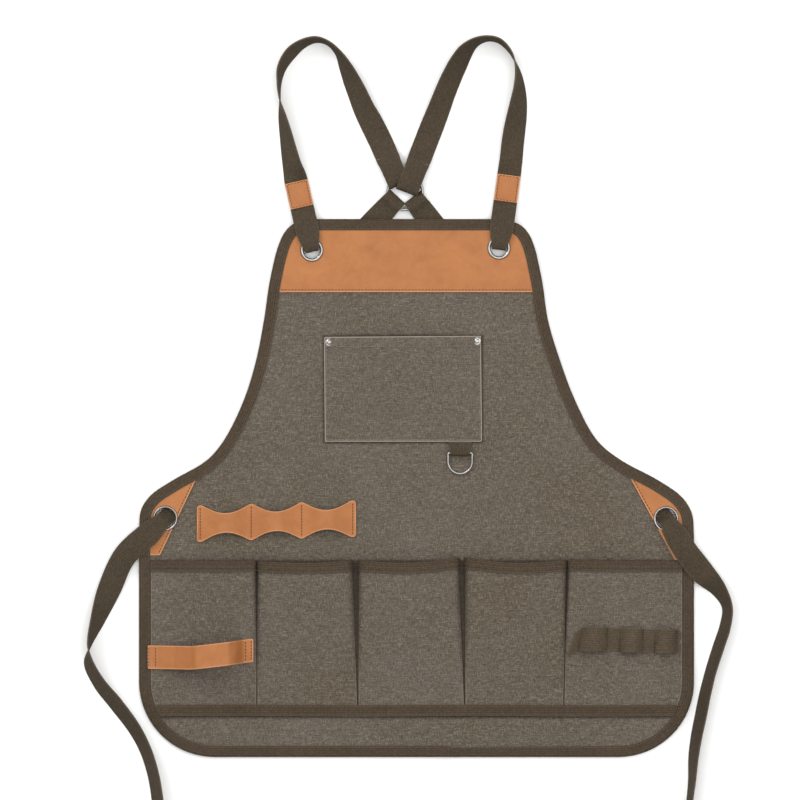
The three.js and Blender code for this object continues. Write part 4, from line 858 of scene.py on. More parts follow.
def studio():
    """Camera straight above, a plain pale floor and broad soft lights."""
    scene = bpy.context.scene
    data = bpy.data.cameras.new("camera")
    camera = bpy.data.objects.new("camera", data)
    scene.collection.objects.link(camera)
    scene.camera = camera
    height = 12.0
    seen_width = 0.8476
    data.sensor_width = 36.0
    data.lens = data.sensor_width * height / seen_width
    camera.location = (-0.0085, 0.0288, height)
    floor = bpy.data.objects.new("floor", bpy.data.meshes.new("floor"))
    reach = 6.0
    corners = [(-reach, -reach, 0), (reach, -reach, 0), (reach, reach, 0), (-reach, reach, 0)]
    floor.data.from_pydata(corners, [], [(0, 1, 2, 3)])
    floor.data.materials.append(Look("pale_paper").finish((0.9, 0.9, 0.895, 1), 0.9))
    floor.location.z = -0.0005
    scene.collection.objects.link(floor)
    world = bpy.data.worlds.new("studio")
    world.use_nodes = True
    nodes = Nodes(world.node_tree)
    sky = nodes.add("SeparateXYZ", {0: nodes.add("TexCoord").outputs["Generated"]}).outputs[2]
    rise = nodes.add("MapRange", {0: sky, 1: 0.0, 2: 0.75}, interpolation_type='SMOOTHSTEP').outputs[0]
    tone = nodes.blend(rise, (0.3, 0.3, 0.3, 1), (1, 1, 1, 1))
    background = nodes.tree.nodes["Background"]
    nodes.tree.links.new(tone, background.inputs[0])
    background.inputs[1].default_value = 1.0
    scene.world = world
    scene.view_settings.view_transform = 'Standard'
    # Lamps: name, place, size, power
    for name, place, size, power in (("overhead", (0.2, 0.3, 2.6), 2.4, 34.0),
                                     ("upper_left", (-1.7, 1.7, 1.5), 0.9, 30.0),
                                     ("right", (1.9, 0.4, 1.3), 1.2, 9.0)):
        lamp = bpy.data.lights.new(name, 'AREA')
        lamp.size = size
        lamp.energy = power
        thing = bpy.data.objects.new(name, lamp)
        thing.location = place
        thing.rotation_euler = (-Vector(place)).to_track_quat('-Z', 'Y').to_euler()
        scene.collection.objects.link(thing)


studio()


# The straps

def plane_stations(place, aim, side_sign, rows):
    """Rows of along, height and gather in the upright plane through a place."""
    across = np.array([aim[1], -aim[0], 0.0]) * side_sign
    out = []
    for along, height, *gather in rows:
        middle = np.array([place[0] + aim[0] * along, place[1] + aim[1] * along, height])
        out.append((middle, across * STRAP_WIDTH / 2 * (gather[0] if gather else 1)))
    return out


def laid_stations(route, side_sign, before, after):
    """Rows of a strap laid on the floor and rolled about its middle line."""
    places = [spot(row) for row in route]
    out = []
    for i, row in enumerate(route):
        start = places[i - 1] if i else before
        end = places[i + 1] if i + 1 < len(places) else after
        way = unit(end - start)
        roll = math.radians(row[2] if len(row) > 2 else 0)
        across = np.array([way[1] * side_sign * math.cos(roll), -way[0] * side_sign * math.cos(roll),
                           math.sin(roll)])
        height = STRAP_WIDTH / 2 * math.sin(roll) + WEBBING / 2 * abs(math.cos(roll))
        if len(row) > 3:
            height += row[3] * (BINDING_TOP + LAYER + GAP)
        out.append((np.array([*places[i], height]), across * STRAP_WIDTH / 2))
    return out


def heading(degrees):
    return np.array([math.cos(math.radians(degrees)), math.sin(math.radians(degrees))])


def strap_run(stations, step):
    """Middles and half widths along a strap, kept on the floor."""
    middles = np.array([s[0] for s in stations])
    halves = np.array([s[1] for s in stations])
    gaps = np.linalg.norm(np.diff(middles, axis=0), axis=1)
    counts = [max(1, math.ceil(g / step)) for g in gaps]
    run = curve_through(np.hstack([middles, halves]), middles, counts)
    middle, half = run[:, :3].copy(), run[:, 3:]
    normal = unit(np.cross(half, np.gradient(middle, axis=0)))
    resting = np.abs(half[:, 2]) + WEBBING / 2 * np.abs(normal[:, 2])
    middle[:, 2] = np.maximum(middle[:, 2], resting)
    return middle, half, normal


ON_FLOOR = WEBBING / 2
RING_TOP_HEIGHT = 2 * LAYER + 2 * GAP + CROSS_RING_WIRE / 2
RING_FOOT_HEIGHT = LAYER + 2 * GAP + CROSS_RING_WIRE / 2


def shoulder_run(side):
    """Shoulder strap from its sewn end to its fold round the ring, and what the keeper covers."""
    sign = 1 if side == "left" else -1
    # The right strap folds round the ring outside the left one
    nest = 0 if side == "left" else 1
    across, up, bore, rim_size = EYELETS["chest_eyelet_" + side]
    place = spot((across, up))
    route = SHOULDER_ROUTE[side]
    aim = unit(spot(route[0]) - place)
    lift = float(lift_at(place[1]))
    reach = (LENGTH - place[1]) / aim[1]
    below = lift + EYELET_FOOT - GAP - WEBBING / 2
    above = lift + EYELET_TOP + GAP + WEBBING / 2
    over_edge = lift + LEATHER_FACE + LAYER
    rim = rim_size / 2
    middle = (below + above) / 2
    in_bore = 0.86 * bore / STRAP_WIDTH
    keeper_foot = reach + KEEPER_ABOVE_BIB[side]
    keeper_head = keeper_foot + KEEPER_LENGTH
    on_back = ON_FLOOR + LAYER + GAP
    turn = plane_stations(place, aim, sign, [
        (keeper_head - 2, ON_FLOOR), (reach, ON_FLOOR), (rim + 12, ON_FLOOR),
        (rim + 2, below - 0.6, 0.85), (rim * 0.5, below, in_bore), (1, below + 0.6, in_bore),
        (-1, middle - 2, in_bore), (-1.2, middle, in_bore), (-1, middle + 2, in_bore),
        (1, above - 0.6, in_bore), (rim * 0.5, above + 0.3, 0.75), (rim + 4, above, 0.95),
        (reach - 4, over_edge), (reach + 2, over_edge - 0.4),
        (keeper_foot, (over_edge + on_back) / 2), (keeper_foot + KEEPER_LENGTH * 0.2, on_back + 0.6),
        (keeper_foot + KEEPER_LENGTH * 0.4, on_back + 0.1),
        (keeper_foot + KEEPER_LENGTH * 0.7, on_back), (keeper_head, on_back),
    ])
    fold = RING_FOLDS["shoulder_" + side]
    fold_place, away = spot(fold), heading(fold[2])
    on_ring = RING_TOP_HEIGHT + CROSS_RING_WIRE / 2 + GAP + WEBBING / 2 + nest * LAYER
    under_ring = ON_FLOOR + (1 - nest) * LAYER
    on_return = under_ring + LAYER + GAP
    hold = 0.66 if nest == 0 else 0.92
    gather = RING_GATHER["shoulder_" + side]
    ring = plane_stations(fold_place, away, sign, [
        (SEWN_BACK * (hold + 0.75), ON_FLOOR + 0.2 * LAYER), (SEWN_BACK * (hold + 0.36), on_return),
        (SEWN_BACK * (hold + 0.18), (on_ring + on_return) / 2), (SEWN_BACK * hold, on_ring, 0.95),
        (LAYER, on_ring, gather), (0, on_ring - LAYER, gather),
        (-WEBBING / 2, (on_ring + under_ring) / 2, gather), (0, under_ring + LAYER, gather),
        (LAYER, under_ring + 2 * GAP, gather), (3 * LAYER, under_ring, gather),
        (SEWN_BACK * 0.75, under_ring, 0.95), (SEWN_BACK, under_ring),
    ])
    lead_in = fold_place + away * SEWN_BACK * (hold + 0.75)
    laid = laid_stations(route, sign, place, lead_in)
    run = strap_run([*turn, *laid, *ring], 3.0)
    middles = run[0]
    past = (middles[:, 0] - place[0]) * aim[0] + (middles[:, 1] - place[1]) * aim[1]
    covered = ((np.arange(len(middles)) < len(middles) / 2) & (middles[:, 2] > on_back - GAP)
               & (past > keeper_foot - 0.5) & (past < keeper_head + 0.5))
    return run, covered


def waist_run(side):
    """Waist strap from its fold round the ring, under the bib and out through the side eyelet."""
    sign = 1 if side == "left" else -1
    across, up, bore, rim_size = EYELETS["side_eyelet_" + side]
    place = spot((across, up))
    hidden, tie = HIDDEN_ROUTE[side], TIE_ROUTE[side]
    fold = RING_FOLDS["waist_" + side]
    fold_place, away = spot(fold), heading(fold[2])
    ring_height = (RING_TOP_HEIGHT + RING_FOOT_HEIGHT) / 2
    on_ring = ring_height + CROSS_RING_WIRE / 2 + GAP + WEBBING / 2
    on_return = ON_FLOOR + LAYER
    gather = RING_GATHER["waist_" + side]
    ring = plane_stations(fold_place, away, sign, [
        (SEWN_BACK * 0.8, ON_FLOOR), (SEWN_BACK * 0.4, ON_FLOOR, 0.92), (LAYER, ON_FLOOR, gather),
        (0, ON_FLOOR + 0.6 * LAYER, gather), (-WEBBING / 2, (ON_FLOOR + on_ring) / 2, gather),
        (0, on_ring - 0.6 * LAYER, gather), (LAYER, on_ring, gather),
        (SEWN_BACK * 0.24, on_ring, 0.92), (SEWN_BACK * 0.35, (on_ring + on_return) / 2, 0.94),
        (SEWN_BACK * 0.47, on_return, 0.96), (SEWN_BACK * 0.95, on_return),
        (SEWN_BACK * 1.3, ON_FLOOR),
    ])
    lift = float(lift_at(place[1]))
    above = lift + EYELET_TOP + GAP + WEBBING / 2
    middle = (above + ON_FLOOR) / 2
    inward = unit(spot(tie[0]) - spot(hidden[-1]))
    outward = unit(spot(tie[0]) - place)
    in_bore = 0.84 * bore / STRAP_WIDTH
    rim = rim_size / 2
    entering = plane_stations(place, inward, sign, [
        (-rim - 14, ON_FLOOR), (-rim, ON_FLOOR, 0.9), (-5, ON_FLOOR + 0.1, in_bore),
        (-2, middle - 2.2, in_bore),
    ])
    leaving = plane_stations(place, outward, sign, [
        (0, middle, in_bore), (2, middle + 2.2, in_bore),
        (4.6, above, in_bore), (rim, above + 0.4, 0.88), (rim + 10, above),
    ])
    ring_end = fold_place + away * SEWN_BACK * 1.3
    under = laid_stations(hidden, sign, ring_end, place)
    past_end = 2 * spot(tie[-1]) - spot(tie[-2])
    ties = laid_stations(tie, sign, place, past_end)
    return strap_run([*ring, *under, *entering, *leaving, *ties], 3.0)


def strap_grid(run, columns=9):
    """The middle surface of a strap, with its flat places."""
    middle, half = run[:2]
    shares = np.linspace(-1, 1, columns)
    grid = middle[:, None] + shares[None, :, None] * half[:, None]
    return grid, cut_map(shares[None] * STRAP_WIDTH / 2, travelled(middle)[:, None])


def box_on_strap(run, height, first, last, inset):
    """Rows of stitches round a part of a strap: its two long sides and its two ends."""
    middle, half, normal = (part[first:last + 1] for part in run)
    width = np.linalg.norm(half, axis=1, keepdims=True)
    edge = half * (width - inset) / width
    face = middle + normal * height
    ends = [row_across(face[i] - edge[i], face[i] + edge[i], normal[i]) for i in (0, -1)]
    return [(face + edge, normal), (face - edge, normal), *ends]


def make_strap(name, run, node):
    wall(name, node, RIBBED, *strap_grid(run), up=False)


def make_keeper(side, run, covered):
    """Leather patch over both layers of a shoulder strap."""
    middle, half, normal = (part[covered] for part in run)
    normal = normal * (1 if normal[0][2] > 0 else -1)
    patch = (middle + normal * (WEBBING / 2 + GAP + LEATHER / 2), half, normal)
    step = 1.2
    count = len(resample(patch[0], step))
    marks = np.linspace(0, len(middle) - 1, count)
    even = tuple(read_rows(part, np.arange(len(middle)), marks) for part in patch)
    wall("keeper_leather_" + side, "strap_keeper_" + side, TAN, *strap_grid(even, 21))
    inset = 2.2
    rows_in = max(1, int(inset / (KEEPER_LENGTH / count)))
    box = box_on_strap(even, LEATHER / 2, rows_in, count - 1 - rows_in, inset)
    stitches("keeper_stitches_" + side, box, "leather", BROWN_THREAD, 2.4, 0.8, 0.34)


def make_return_stitches(side, run):
    """Rows that hold a shoulder strap's return at the ring."""
    middle, half, normal = run
    from_fold = np.linalg.norm(middle[:, :2] - spot(RING_FOLDS["shoulder_" + side]), axis=1)
    near = 1.2
    at_fold = (from_fold < near) & (np.arange(len(middle)) >= len(middle) // 2)
    before = from_fold[:int(np.argmax(at_fold))]
    i = int(np.flatnonzero(before > SEWN_BACK * 0.95)[-1])
    up = normal[i] * (1 if normal[i][2] > 0 else -1)
    for name, shares, look in (("return", (-0.84, 0.84), OLIVE_THREAD),
                               ("bar_tack", (-0.9, -0.62), PALE_THREAD)):
        start, end = (middle[i] + half[i] * share + up * WEBBING / 2 for share in shares)
        stitches(f"{name}_stitches_{side}", [row_across(start, end, up)], "webbing", look, 2.2, 0.9, 0.26)


def make_tie_end(side, run):
    """Row of stitches through a tie's turned end, seen on both faces."""
    middle, half, normal = (part[-4] for part in run)
    rows = []
    for face in (-normal, normal):
        place = middle + face * WEBBING / 2
        rows.append(row_across(place - half * 0.86, place + half * 0.86, face))
    stitches("tie_stitches_" + side, rows, "webbing", OLIVE_THREAD)


def make_straps():
    for side in ("left", "right"):
        run, covered = shoulder_run(side)
        make_strap("shoulder_webbing_" + side, run, "shoulder_strap_" + side)
        make_keeper(side, run, covered)
        make_return_stitches(side, run)
        run = waist_run(side)
        make_strap("waist_webbing_" + side, run, "waist_strap_" + side)
        make_tie_end(side, run)


make_straps()


# Panel and binding

def eyelet_hole(name):
    """The hole cut for an eyelet: x, y, radius."""
    across, up, bore = EYELETS[name][:3]
    return (*spot((across, up)), bore / 2 + EYELET_WALL + GAP)


def make_panel():
    left, right = sides_inside(TAPE + 2.0)
    ys = np.linspace(TAPE + 1.0, LENGTH - TAPE - 1.0, 178)
    panel = flat_sheet("panel_canvas", "main_panel", PANEL_CLOTH, ys, left(ys), right(ys), 170,
                       PANEL_FOOT + CANVAS / 2, [eyelet_hole(name) for name in EYELETS])
    area = float(np.mean(right(ys) - left(ys))) * float(ys[-1] - ys[0]) * IN_M ** 2


def over_leather(x, y):
    """How far the binding climbs over the leather that it holds."""
    climb = smooth_step(y, CHEST_BAND_FOOT * LENGTH - 3, CHEST_BAND_FOOT * LENGTH + 1)
    for side, (tip, foot) in SIDE_PATCHES.items():
        top, low = spot(tip), spot(foot)
        beyond = (x - top[0] + 8) * np.sign(top[0]) if side == "right" else (top[0] + 8 - x)
        near = smooth_step(y, low[1] - 2, low[1] + 2) * (1 - smooth_step(y, top[1] + 10, top[1] + 16))
        climb = np.maximum(climb, near * smooth_step(beyond, 0, 6))
    return climb


def make_binding():
    """The folded tape, from where its ends overlap at the hem and once round the apron."""
    step = 3.2
    loop = outline_loop(step)
    joint = 0.099 * HALF
    first = int(np.argmin(np.hypot(loop[:, 0] - joint, loop[:, 1])))
    overlap = 3
    order = (first + np.arange(len(loop) + overlap)) % len(loop)
    inward = inward_normals(loop)[order]
    loop = loop[order]
    foot = ground(loop[:, 0], loop[:, 1])
    # Folded section from the back's edge to the front's: inward, height of the tape's middle
    top = BINDING_TOP - TAPE / 2
    section = [(BINDING_WIDTH, 0.5), (8, 0.5), (4.5, 0.5), (1.9, 0.52), (0.95, 0.75), (0.55, 1.25),
               (0.55, 2.3), (0.95, top - 0.25), (1.9, top + 0.05), (4.5, top + 0.12),
               (7.5, top + 0.12), (10.2, top + 0.02), (10.9, top - 0.08), (BINDING_WIDTH, top - 0.12)]
    outer_from, front_from, narrow_from = 6, 8, 10
    climb = 1.15
    count = np.arange(len(loop))
    narrowing = 1.7 * (1 - smooth_step(step * count, 30, 190))
    lap = 1.05 * smooth_step(count, len(loop) - overlap - 2, len(loop) - overlap)
    rows = []
    for k, (reach, height) in enumerate(section):
        kept = reach - narrowing * (k >= narrow_from)
        place = loop + inward * kept[:, None]
        z = foot + height + lap * (1 if k >= outer_from else -0.35)
        if k >= front_from - 1:
            z = z + climb * over_leather(place[:, 0], place[:, 1])
        if k >= front_from:
            z = z + 0.1 * np.sin(count * 2.1 + k * 0.7)
        rows.append(np.column_stack([place, z]))
    grid = np.stack(rows, 1)
    grid[..., 2] = np.maximum(grid[..., 2], TAPE / 2)
    flat_map = cut_map(travelled(np.array(section))[None], travelled(loop)[:, None])
    wall("binding_tape", "edge_binding", TWILL, grid, flat_map, up=False)
    place = (loop + inward * (BINDING_WIDTH - 2.0))[:-overlap]
    foot = foot[:-overlap]
    front = foot + BINDING_TOP + climb * over_leather(place[:, 0], place[:, 1])
    runs = [(np.column_stack([place, z]), np.tile([0.0, 0.0, face], (len(place), 1)))
            for z, face in ((front, 1.0), (foot + 0.03, -1.0))]
    stitches("binding_stitches", runs, "binding", OLIVE_THREAD, 3.0, 1.0, 0.28)


make_panel()
make_binding()


# Leather trim

def make_leather():
    left, right = sides_inside(6.0)
    foot = CHEST_BAND_FOOT * LENGTH
    ys = np.linspace(foot, LENGTH - 6, 60)
    holes = [eyelet_hole(name) for name in EYELETS if name.startswith("chest")]
    flat_sheet("chest_leather", "chest_band", TAN, ys, left(ys), right(ys), 220, SEAT + LEATHER / 2, holes)
    inner_left, inner_right = sides_inside(BINDING_WIDTH + 1)
    y = foot + 2.4
    row = on_layer(line((inner_left(y), y), (inner_right(y), y)), LEATHER_FACE)
    stitches("chest_band_stitches", [row], "leather", BROWN_THREAD, 2.6, 0.9, 0.32)
    for side, (tip, foot) in SIDE_PATCHES.items():
        make_side_patch(side, spot(tip), spot(foot), (left, right))


def make_side_patch(side, tip, foot, edges):
    outer = edges[0] if side == "left" else edges[1]
    sign = -1 if side == "left" else 1
    ys = np.linspace(foot[1], tip[1] + 16, 60)
    inner = np.where(ys < tip[1], foot[0] + (tip[0] - foot[0]) * (ys - foot[1]) / (tip[1] - foot[1]), tip[0])
    outside = outer(ys)
    wide = (outside - inner) * sign > 0.6
    ys, inner, outside = ys[wide], inner[wide], outside[wide]
    lefts, rights = (outside, inner) if side == "left" else (inner, outside)
    flat_sheet("side_leather_" + side, "side_patch_" + side, TAN, ys, lefts, rights, 50, SEAT + LEATHER / 2,
               [eyelet_hole("side_eyelet_" + side)])
    along = unit(tip - foot)
    across = np.array([along[1], -along[0]]) * sign
    run = line(foot + across * 2.2 + along * 1.5, tip + across * 2.2 - along * 1.5)
    stitches("side_patch_stitches_" + side, [on_layer(run, LEATHER_FACE)], "leather", BROWN_THREAD,
             2.6, 0.9, 0.32)


make_leather()


# Metal fittings

def make_metal():
    for name, (across, up, bore, rim) in EYELETS.items():
        inner, edge = bore / 2, rim / 2
        outer = inner + EYELET_WALL
        under = LEATHER_FACE + GAP * 0.4
        section = rounded([
            (inner, EYELET_FOOT + 0.2), (edge, EYELET_FOOT), (edge, EYELET_FOOT + EYELET_WALL),
            (outer, EYELET_FOOT + EYELET_WALL), (outer, under), (edge, under),
            (edge - 0.5, under + 0.75), ((edge + outer) / 2 + 0.2, EYELET_TOP),
            (inner + 0.9, EYELET_TOP - 0.15), (inner, under + 0.2)], 0.7)
        piece = lathe(name + "_turned", (across, up), section, METAL_LOOK, 72)
        dress(piece, [name], "metal")
    head = RIVET_DIAMETER / 2
    for side, place in RIVETS.items():
        face = SEAT + CANVAS
        section = [(0, face), (head * 0.7, face), (head, face + 0.1), (head * 1.0, face + 0.35),
                   (head * 0.93, face + 0.62), (head * 0.78, face + 0.72), (head * 0.68, face + 0.6),
                   (head * 0.6, face + 0.66), (head * 0.48, face + 1.05), (head * 0.3, face + RIVET_CROWN),
                   (head * 0.12, face + RIVET_CROWN + 0.08), (0, face + RIVET_CROWN + 0.08)]
        cap = lathe("rivet_cap_" + side, place, section, METAL_LOOK, 48)
        dress(cap, ["pocket_rivet_" + side], "metal")
        back = [(0, EYELET_FOOT + 0.9), (head * 0.95, EYELET_FOOT + 0.9), (head, EYELET_FOOT + 0.6),
                (head * 0.9, EYELET_FOOT + 0.15), (head * 0.4, EYELET_FOOT), (0, EYELET_FOOT)]
        dress(lathe("rivet_back_" + side, place, back, METAL_LOOK, 48), [], "metal")
    angles = np.linspace(0, 2 * math.pi, 96, endpoint=False)
    middle = (CROSS_RING_DIAMETER - CROSS_RING_WIRE) / 2
    lean = math.atan2(RING_TOP_HEIGHT - RING_FOOT_HEIGHT, 2 * middle)
    x, y = spot(CROSS_RING)
    path = np.stack([x + middle * np.cos(angles), y + middle * np.sin(angles) * math.cos(lean),
                     (RING_TOP_HEIGHT + RING_FOOT_HEIGHT) / 2 + middle * np.sin(angles) * math.sin(lean)], 1)
    dress(tube("cross_ring_wire", path, CROSS_RING_WIRE / 2, METAL_LOOK), ["cross_ring"], "metal")


make_metal()


# Chest pocket, ring tab and D-ring

def make_chest_pocket():
    corner = {key: spot(place) for key, place in CHEST_POCKET.items()}
    shares = np.linspace(0, 1, 84)
    downs = np.r_[np.linspace(0, 0.13, 12), np.linspace(0.14, 1, 50)]
    grid = np.zeros((len(downs), len(shares), 3))
    hem = 11.5
    for i, down in enumerate(downs):
        left = corner["topLeft"] + (corner["footLeft"] - corner["topLeft"]) * down
        right = corner["topRight"] + (corner["footRight"] - corner["topRight"]) * down
        grid[i, :, :2] = left + (right - left) * shares[:, None]
    x, y = grid[..., 0], grid[..., 1]
    puff = (CHEST_POCKET_PUFF * soft_read(CHEST_POCKET_ACROSS, shares, 0.05)[None]
            * soft_read(CHEST_POCKET_DOWN, downs, 0.06)[:, None])
    below_mouth = corner["topLeft"][1] - y
    fold = 0.55 * (1 - smooth_step(below_mouth, hem - 0.8, hem + 0.6))
    ripple = 0.25 * np.sin(x / 17.0 + y / 31.0) * puff / CHEST_POCKET_PUFF
    turned = -0.35 * (1 - smooth_step(np.minimum(shares, 1 - shares)[None] * 166, 0, 1.6))
    grid[..., 2] = ground(x, y) + SEAT + CANVAS / 2 + puff + fold + ripple + turned
    flat_map = grid[..., :2] + np.array([40.0, 700.0])
    pocket = wall("chest_pocket_cloth", "chest_pocket", CHEST_POCKET_CLOTH, grid, flat_map)
    width = corner["topRight"][0] - corner["topLeft"][0]
    deep = corner["topLeft"][1] - corner["footLeft"][1]
    face = wall_reader(grid, CANVAS / 2)
    inset, low = 2.4 / width, 2.4 / deep
    hem_row = 10.6 / deep
    sides = [(np.full(60, share), np.linspace(0.01, 1 - low, 60)) for share in (inset, 1 - inset)]
    rows = [(np.linspace(inset, 1 - inset, 80), np.full(80, 1 - low)),
            (np.linspace(0.008, 0.992, 80), np.full(80, hem_row))]
    runs = [face(shares, downs, across, down) for across, down in (*sides, *rows)]
    stitches("chest_pocket_stitches", runs, "canvas", PALE_SEAM_THREAD, 2.7, 0.9, 0.26)


def wall_reader(grid, offset):
    """Points and normals on a wall's face by shares across and down."""
    normals = grid_normals(grid)

    def look(shares, downs, across, down):
        j = np.interp(across, shares, np.arange(len(shares)))
        i = np.interp(down, downs, np.arange(len(downs)))
        i0, j0 = np.floor(i).astype(int), np.floor(j).astype(int)
        i1, j1 = np.minimum(i0 + 1, len(downs) - 1), np.minimum(j0 + 1, len(shares) - 1)
        fi, fj = (i - i0)[:, None], (j - j0)[:, None]

        def at(values):
            return ((values[i0, j0] * (1 - fj) + values[i0, j1] * fj) * (1 - fi)
                    + (values[i1, j0] * (1 - fj) + values[i1, j1] * fj) * fi)

        normal = unit(at(normals))
        return at(grid) + normal * offset, normal

    return look


TAB_TOP = CHEST_POCKET["footRight"][1] * LENGTH - 2 * GAP
TAB_BEND = D_RING_WIRE / 2 + 2 * GAP + WEBBING / 2
BAR_X = RING_TAB_ACROSS * HALF
BAR_Y = TAB_TOP - TAB_LENGTH + TAB_BEND + WEBBING / 2
BAR_HEIGHT = SEAT + WEBBING / 2 + TAB_BEND


def make_ring_tab():
    lift = float(ground(BAR_X, BAR_Y))
    low = SEAT + WEBBING / 2
    wide = BAR_Y + 0.6 * (TAB_TOP - BAR_Y)
    stations = []

    def add(y, height, width):
        stations.append((np.array([BAR_X, y, lift + height]), np.array([width / 2, 0, 0])))

    add(TAB_TOP, low, STRAP_WIDTH)
    add(wide, low, TAB_FOLD_WIDTH)
    add(BAR_Y + TAB_BEND, low, TAB_FOLD_WIDTH)
    for i in range(9):
        angle = math.pi * (0.5 + i / 8)
        add(BAR_Y + TAB_BEND * math.cos(angle), BAR_HEIGHT - TAB_BEND * math.sin(angle), TAB_FOLD_WIDTH)
    add(BAR_Y + TAB_BEND, BAR_HEIGHT + TAB_BEND * 0.9, TAB_FOLD_WIDTH)
    add(wide, low + LAYER + 0.9, TAB_FOLD_WIDTH)
    add(TAB_TOP, low + LAYER, STRAP_WIDTH)
    run = strap_run(stations, 1.5)
    wall("ring_tab_webbing", "ring_tab", RIBBED, *strap_grid(run, 15), up=False)
    rows = []
    for share, height in ((0.52, low + LAYER + 1.1), (0.7, low + LAYER + 0.8)):
        y = BAR_Y + share * (TAB_TOP - BAR_Y)
        z = lift + height + WEBBING / 2
        start, end = ((BAR_X + side * (TAB_FOLD_WIDTH / 2 - 1.5), y, z) for side in (-1, 1))
        rows.append(row_across(start, end, [0, 0, 1.0]))
    stitches("ring_tab_stitches", rows, "webbing", OLIVE_THREAD, 2.4, 0.8, 0.26)


def make_d_ring():
    half = TAB_FOLD_WIDTH / 2 + 3 * GAP + D_RING_WIRE / 2
    bend = 0.55 * D_RING_WIRE
    path = [(x, 0.0) for x in np.linspace(-half + bend, half - bend, 12)]
    path.append((half - 0.3 * bend, -0.3 * bend))
    arm = max(D_RING_DEPTH - half, bend)
    path.extend((half, -y) for y in np.linspace(bend, arm, 6)[:-1])
    for i in range(41):
        angle = math.pi * i / 40
        path.append((half * math.cos(angle), -arm - (D_RING_DEPTH - arm) * math.sin(angle)))
    path.extend((-half, -y) for y in np.linspace(arm, bend, 6)[1:])
    path.append((-half + 0.3 * bend, -0.3 * bend))
    drop = math.asin((BAR_HEIGHT - (SEAT + D_RING_WIRE / 2)) / D_RING_DEPTH)
    lift = float(lift_at(BAR_Y))
    placed = [(BAR_X + x, BAR_Y + y * math.cos(drop), lift + BAR_HEIGHT + y * math.sin(drop))
              for x, y in path]
    ring = tube("d_ring_wire", placed, D_RING_WIRE / 2, METAL_LOOK, 16)
    dress(ring, ["d_ring"], "metal", RING_BODY)


make_chest_pocket()
make_ring_tab()
make_d_ring()


# Tool pockets

def side_limit(y):
    clear = BINDING_WIDTH + 2 * GAP
    radius = HEM_CORNER_RADIUS - clear
    below = np.minimum(radius, np.maximum(0, HEM_CORNER_RADIUS - y))
    return HALF - clear - radius + np.sqrt(radius * radius - below * below)


def seam_edge(divider, y, side):
    down = np.clip((POCKET_ROW_HEIGHT - y) / (POCKET_ROW_HEIGHT - BASE_TAPE_HEIGHT), 0, 1)
    gape = SEAM_GAPE[DIVIDERS.index(divider)]
    spacing = gape + (BASE_SPACING - gape) * down ** 1.5
    return (divider[0] + (divider[1] - divider[0]) * down) * HALF + side * spacing / 2


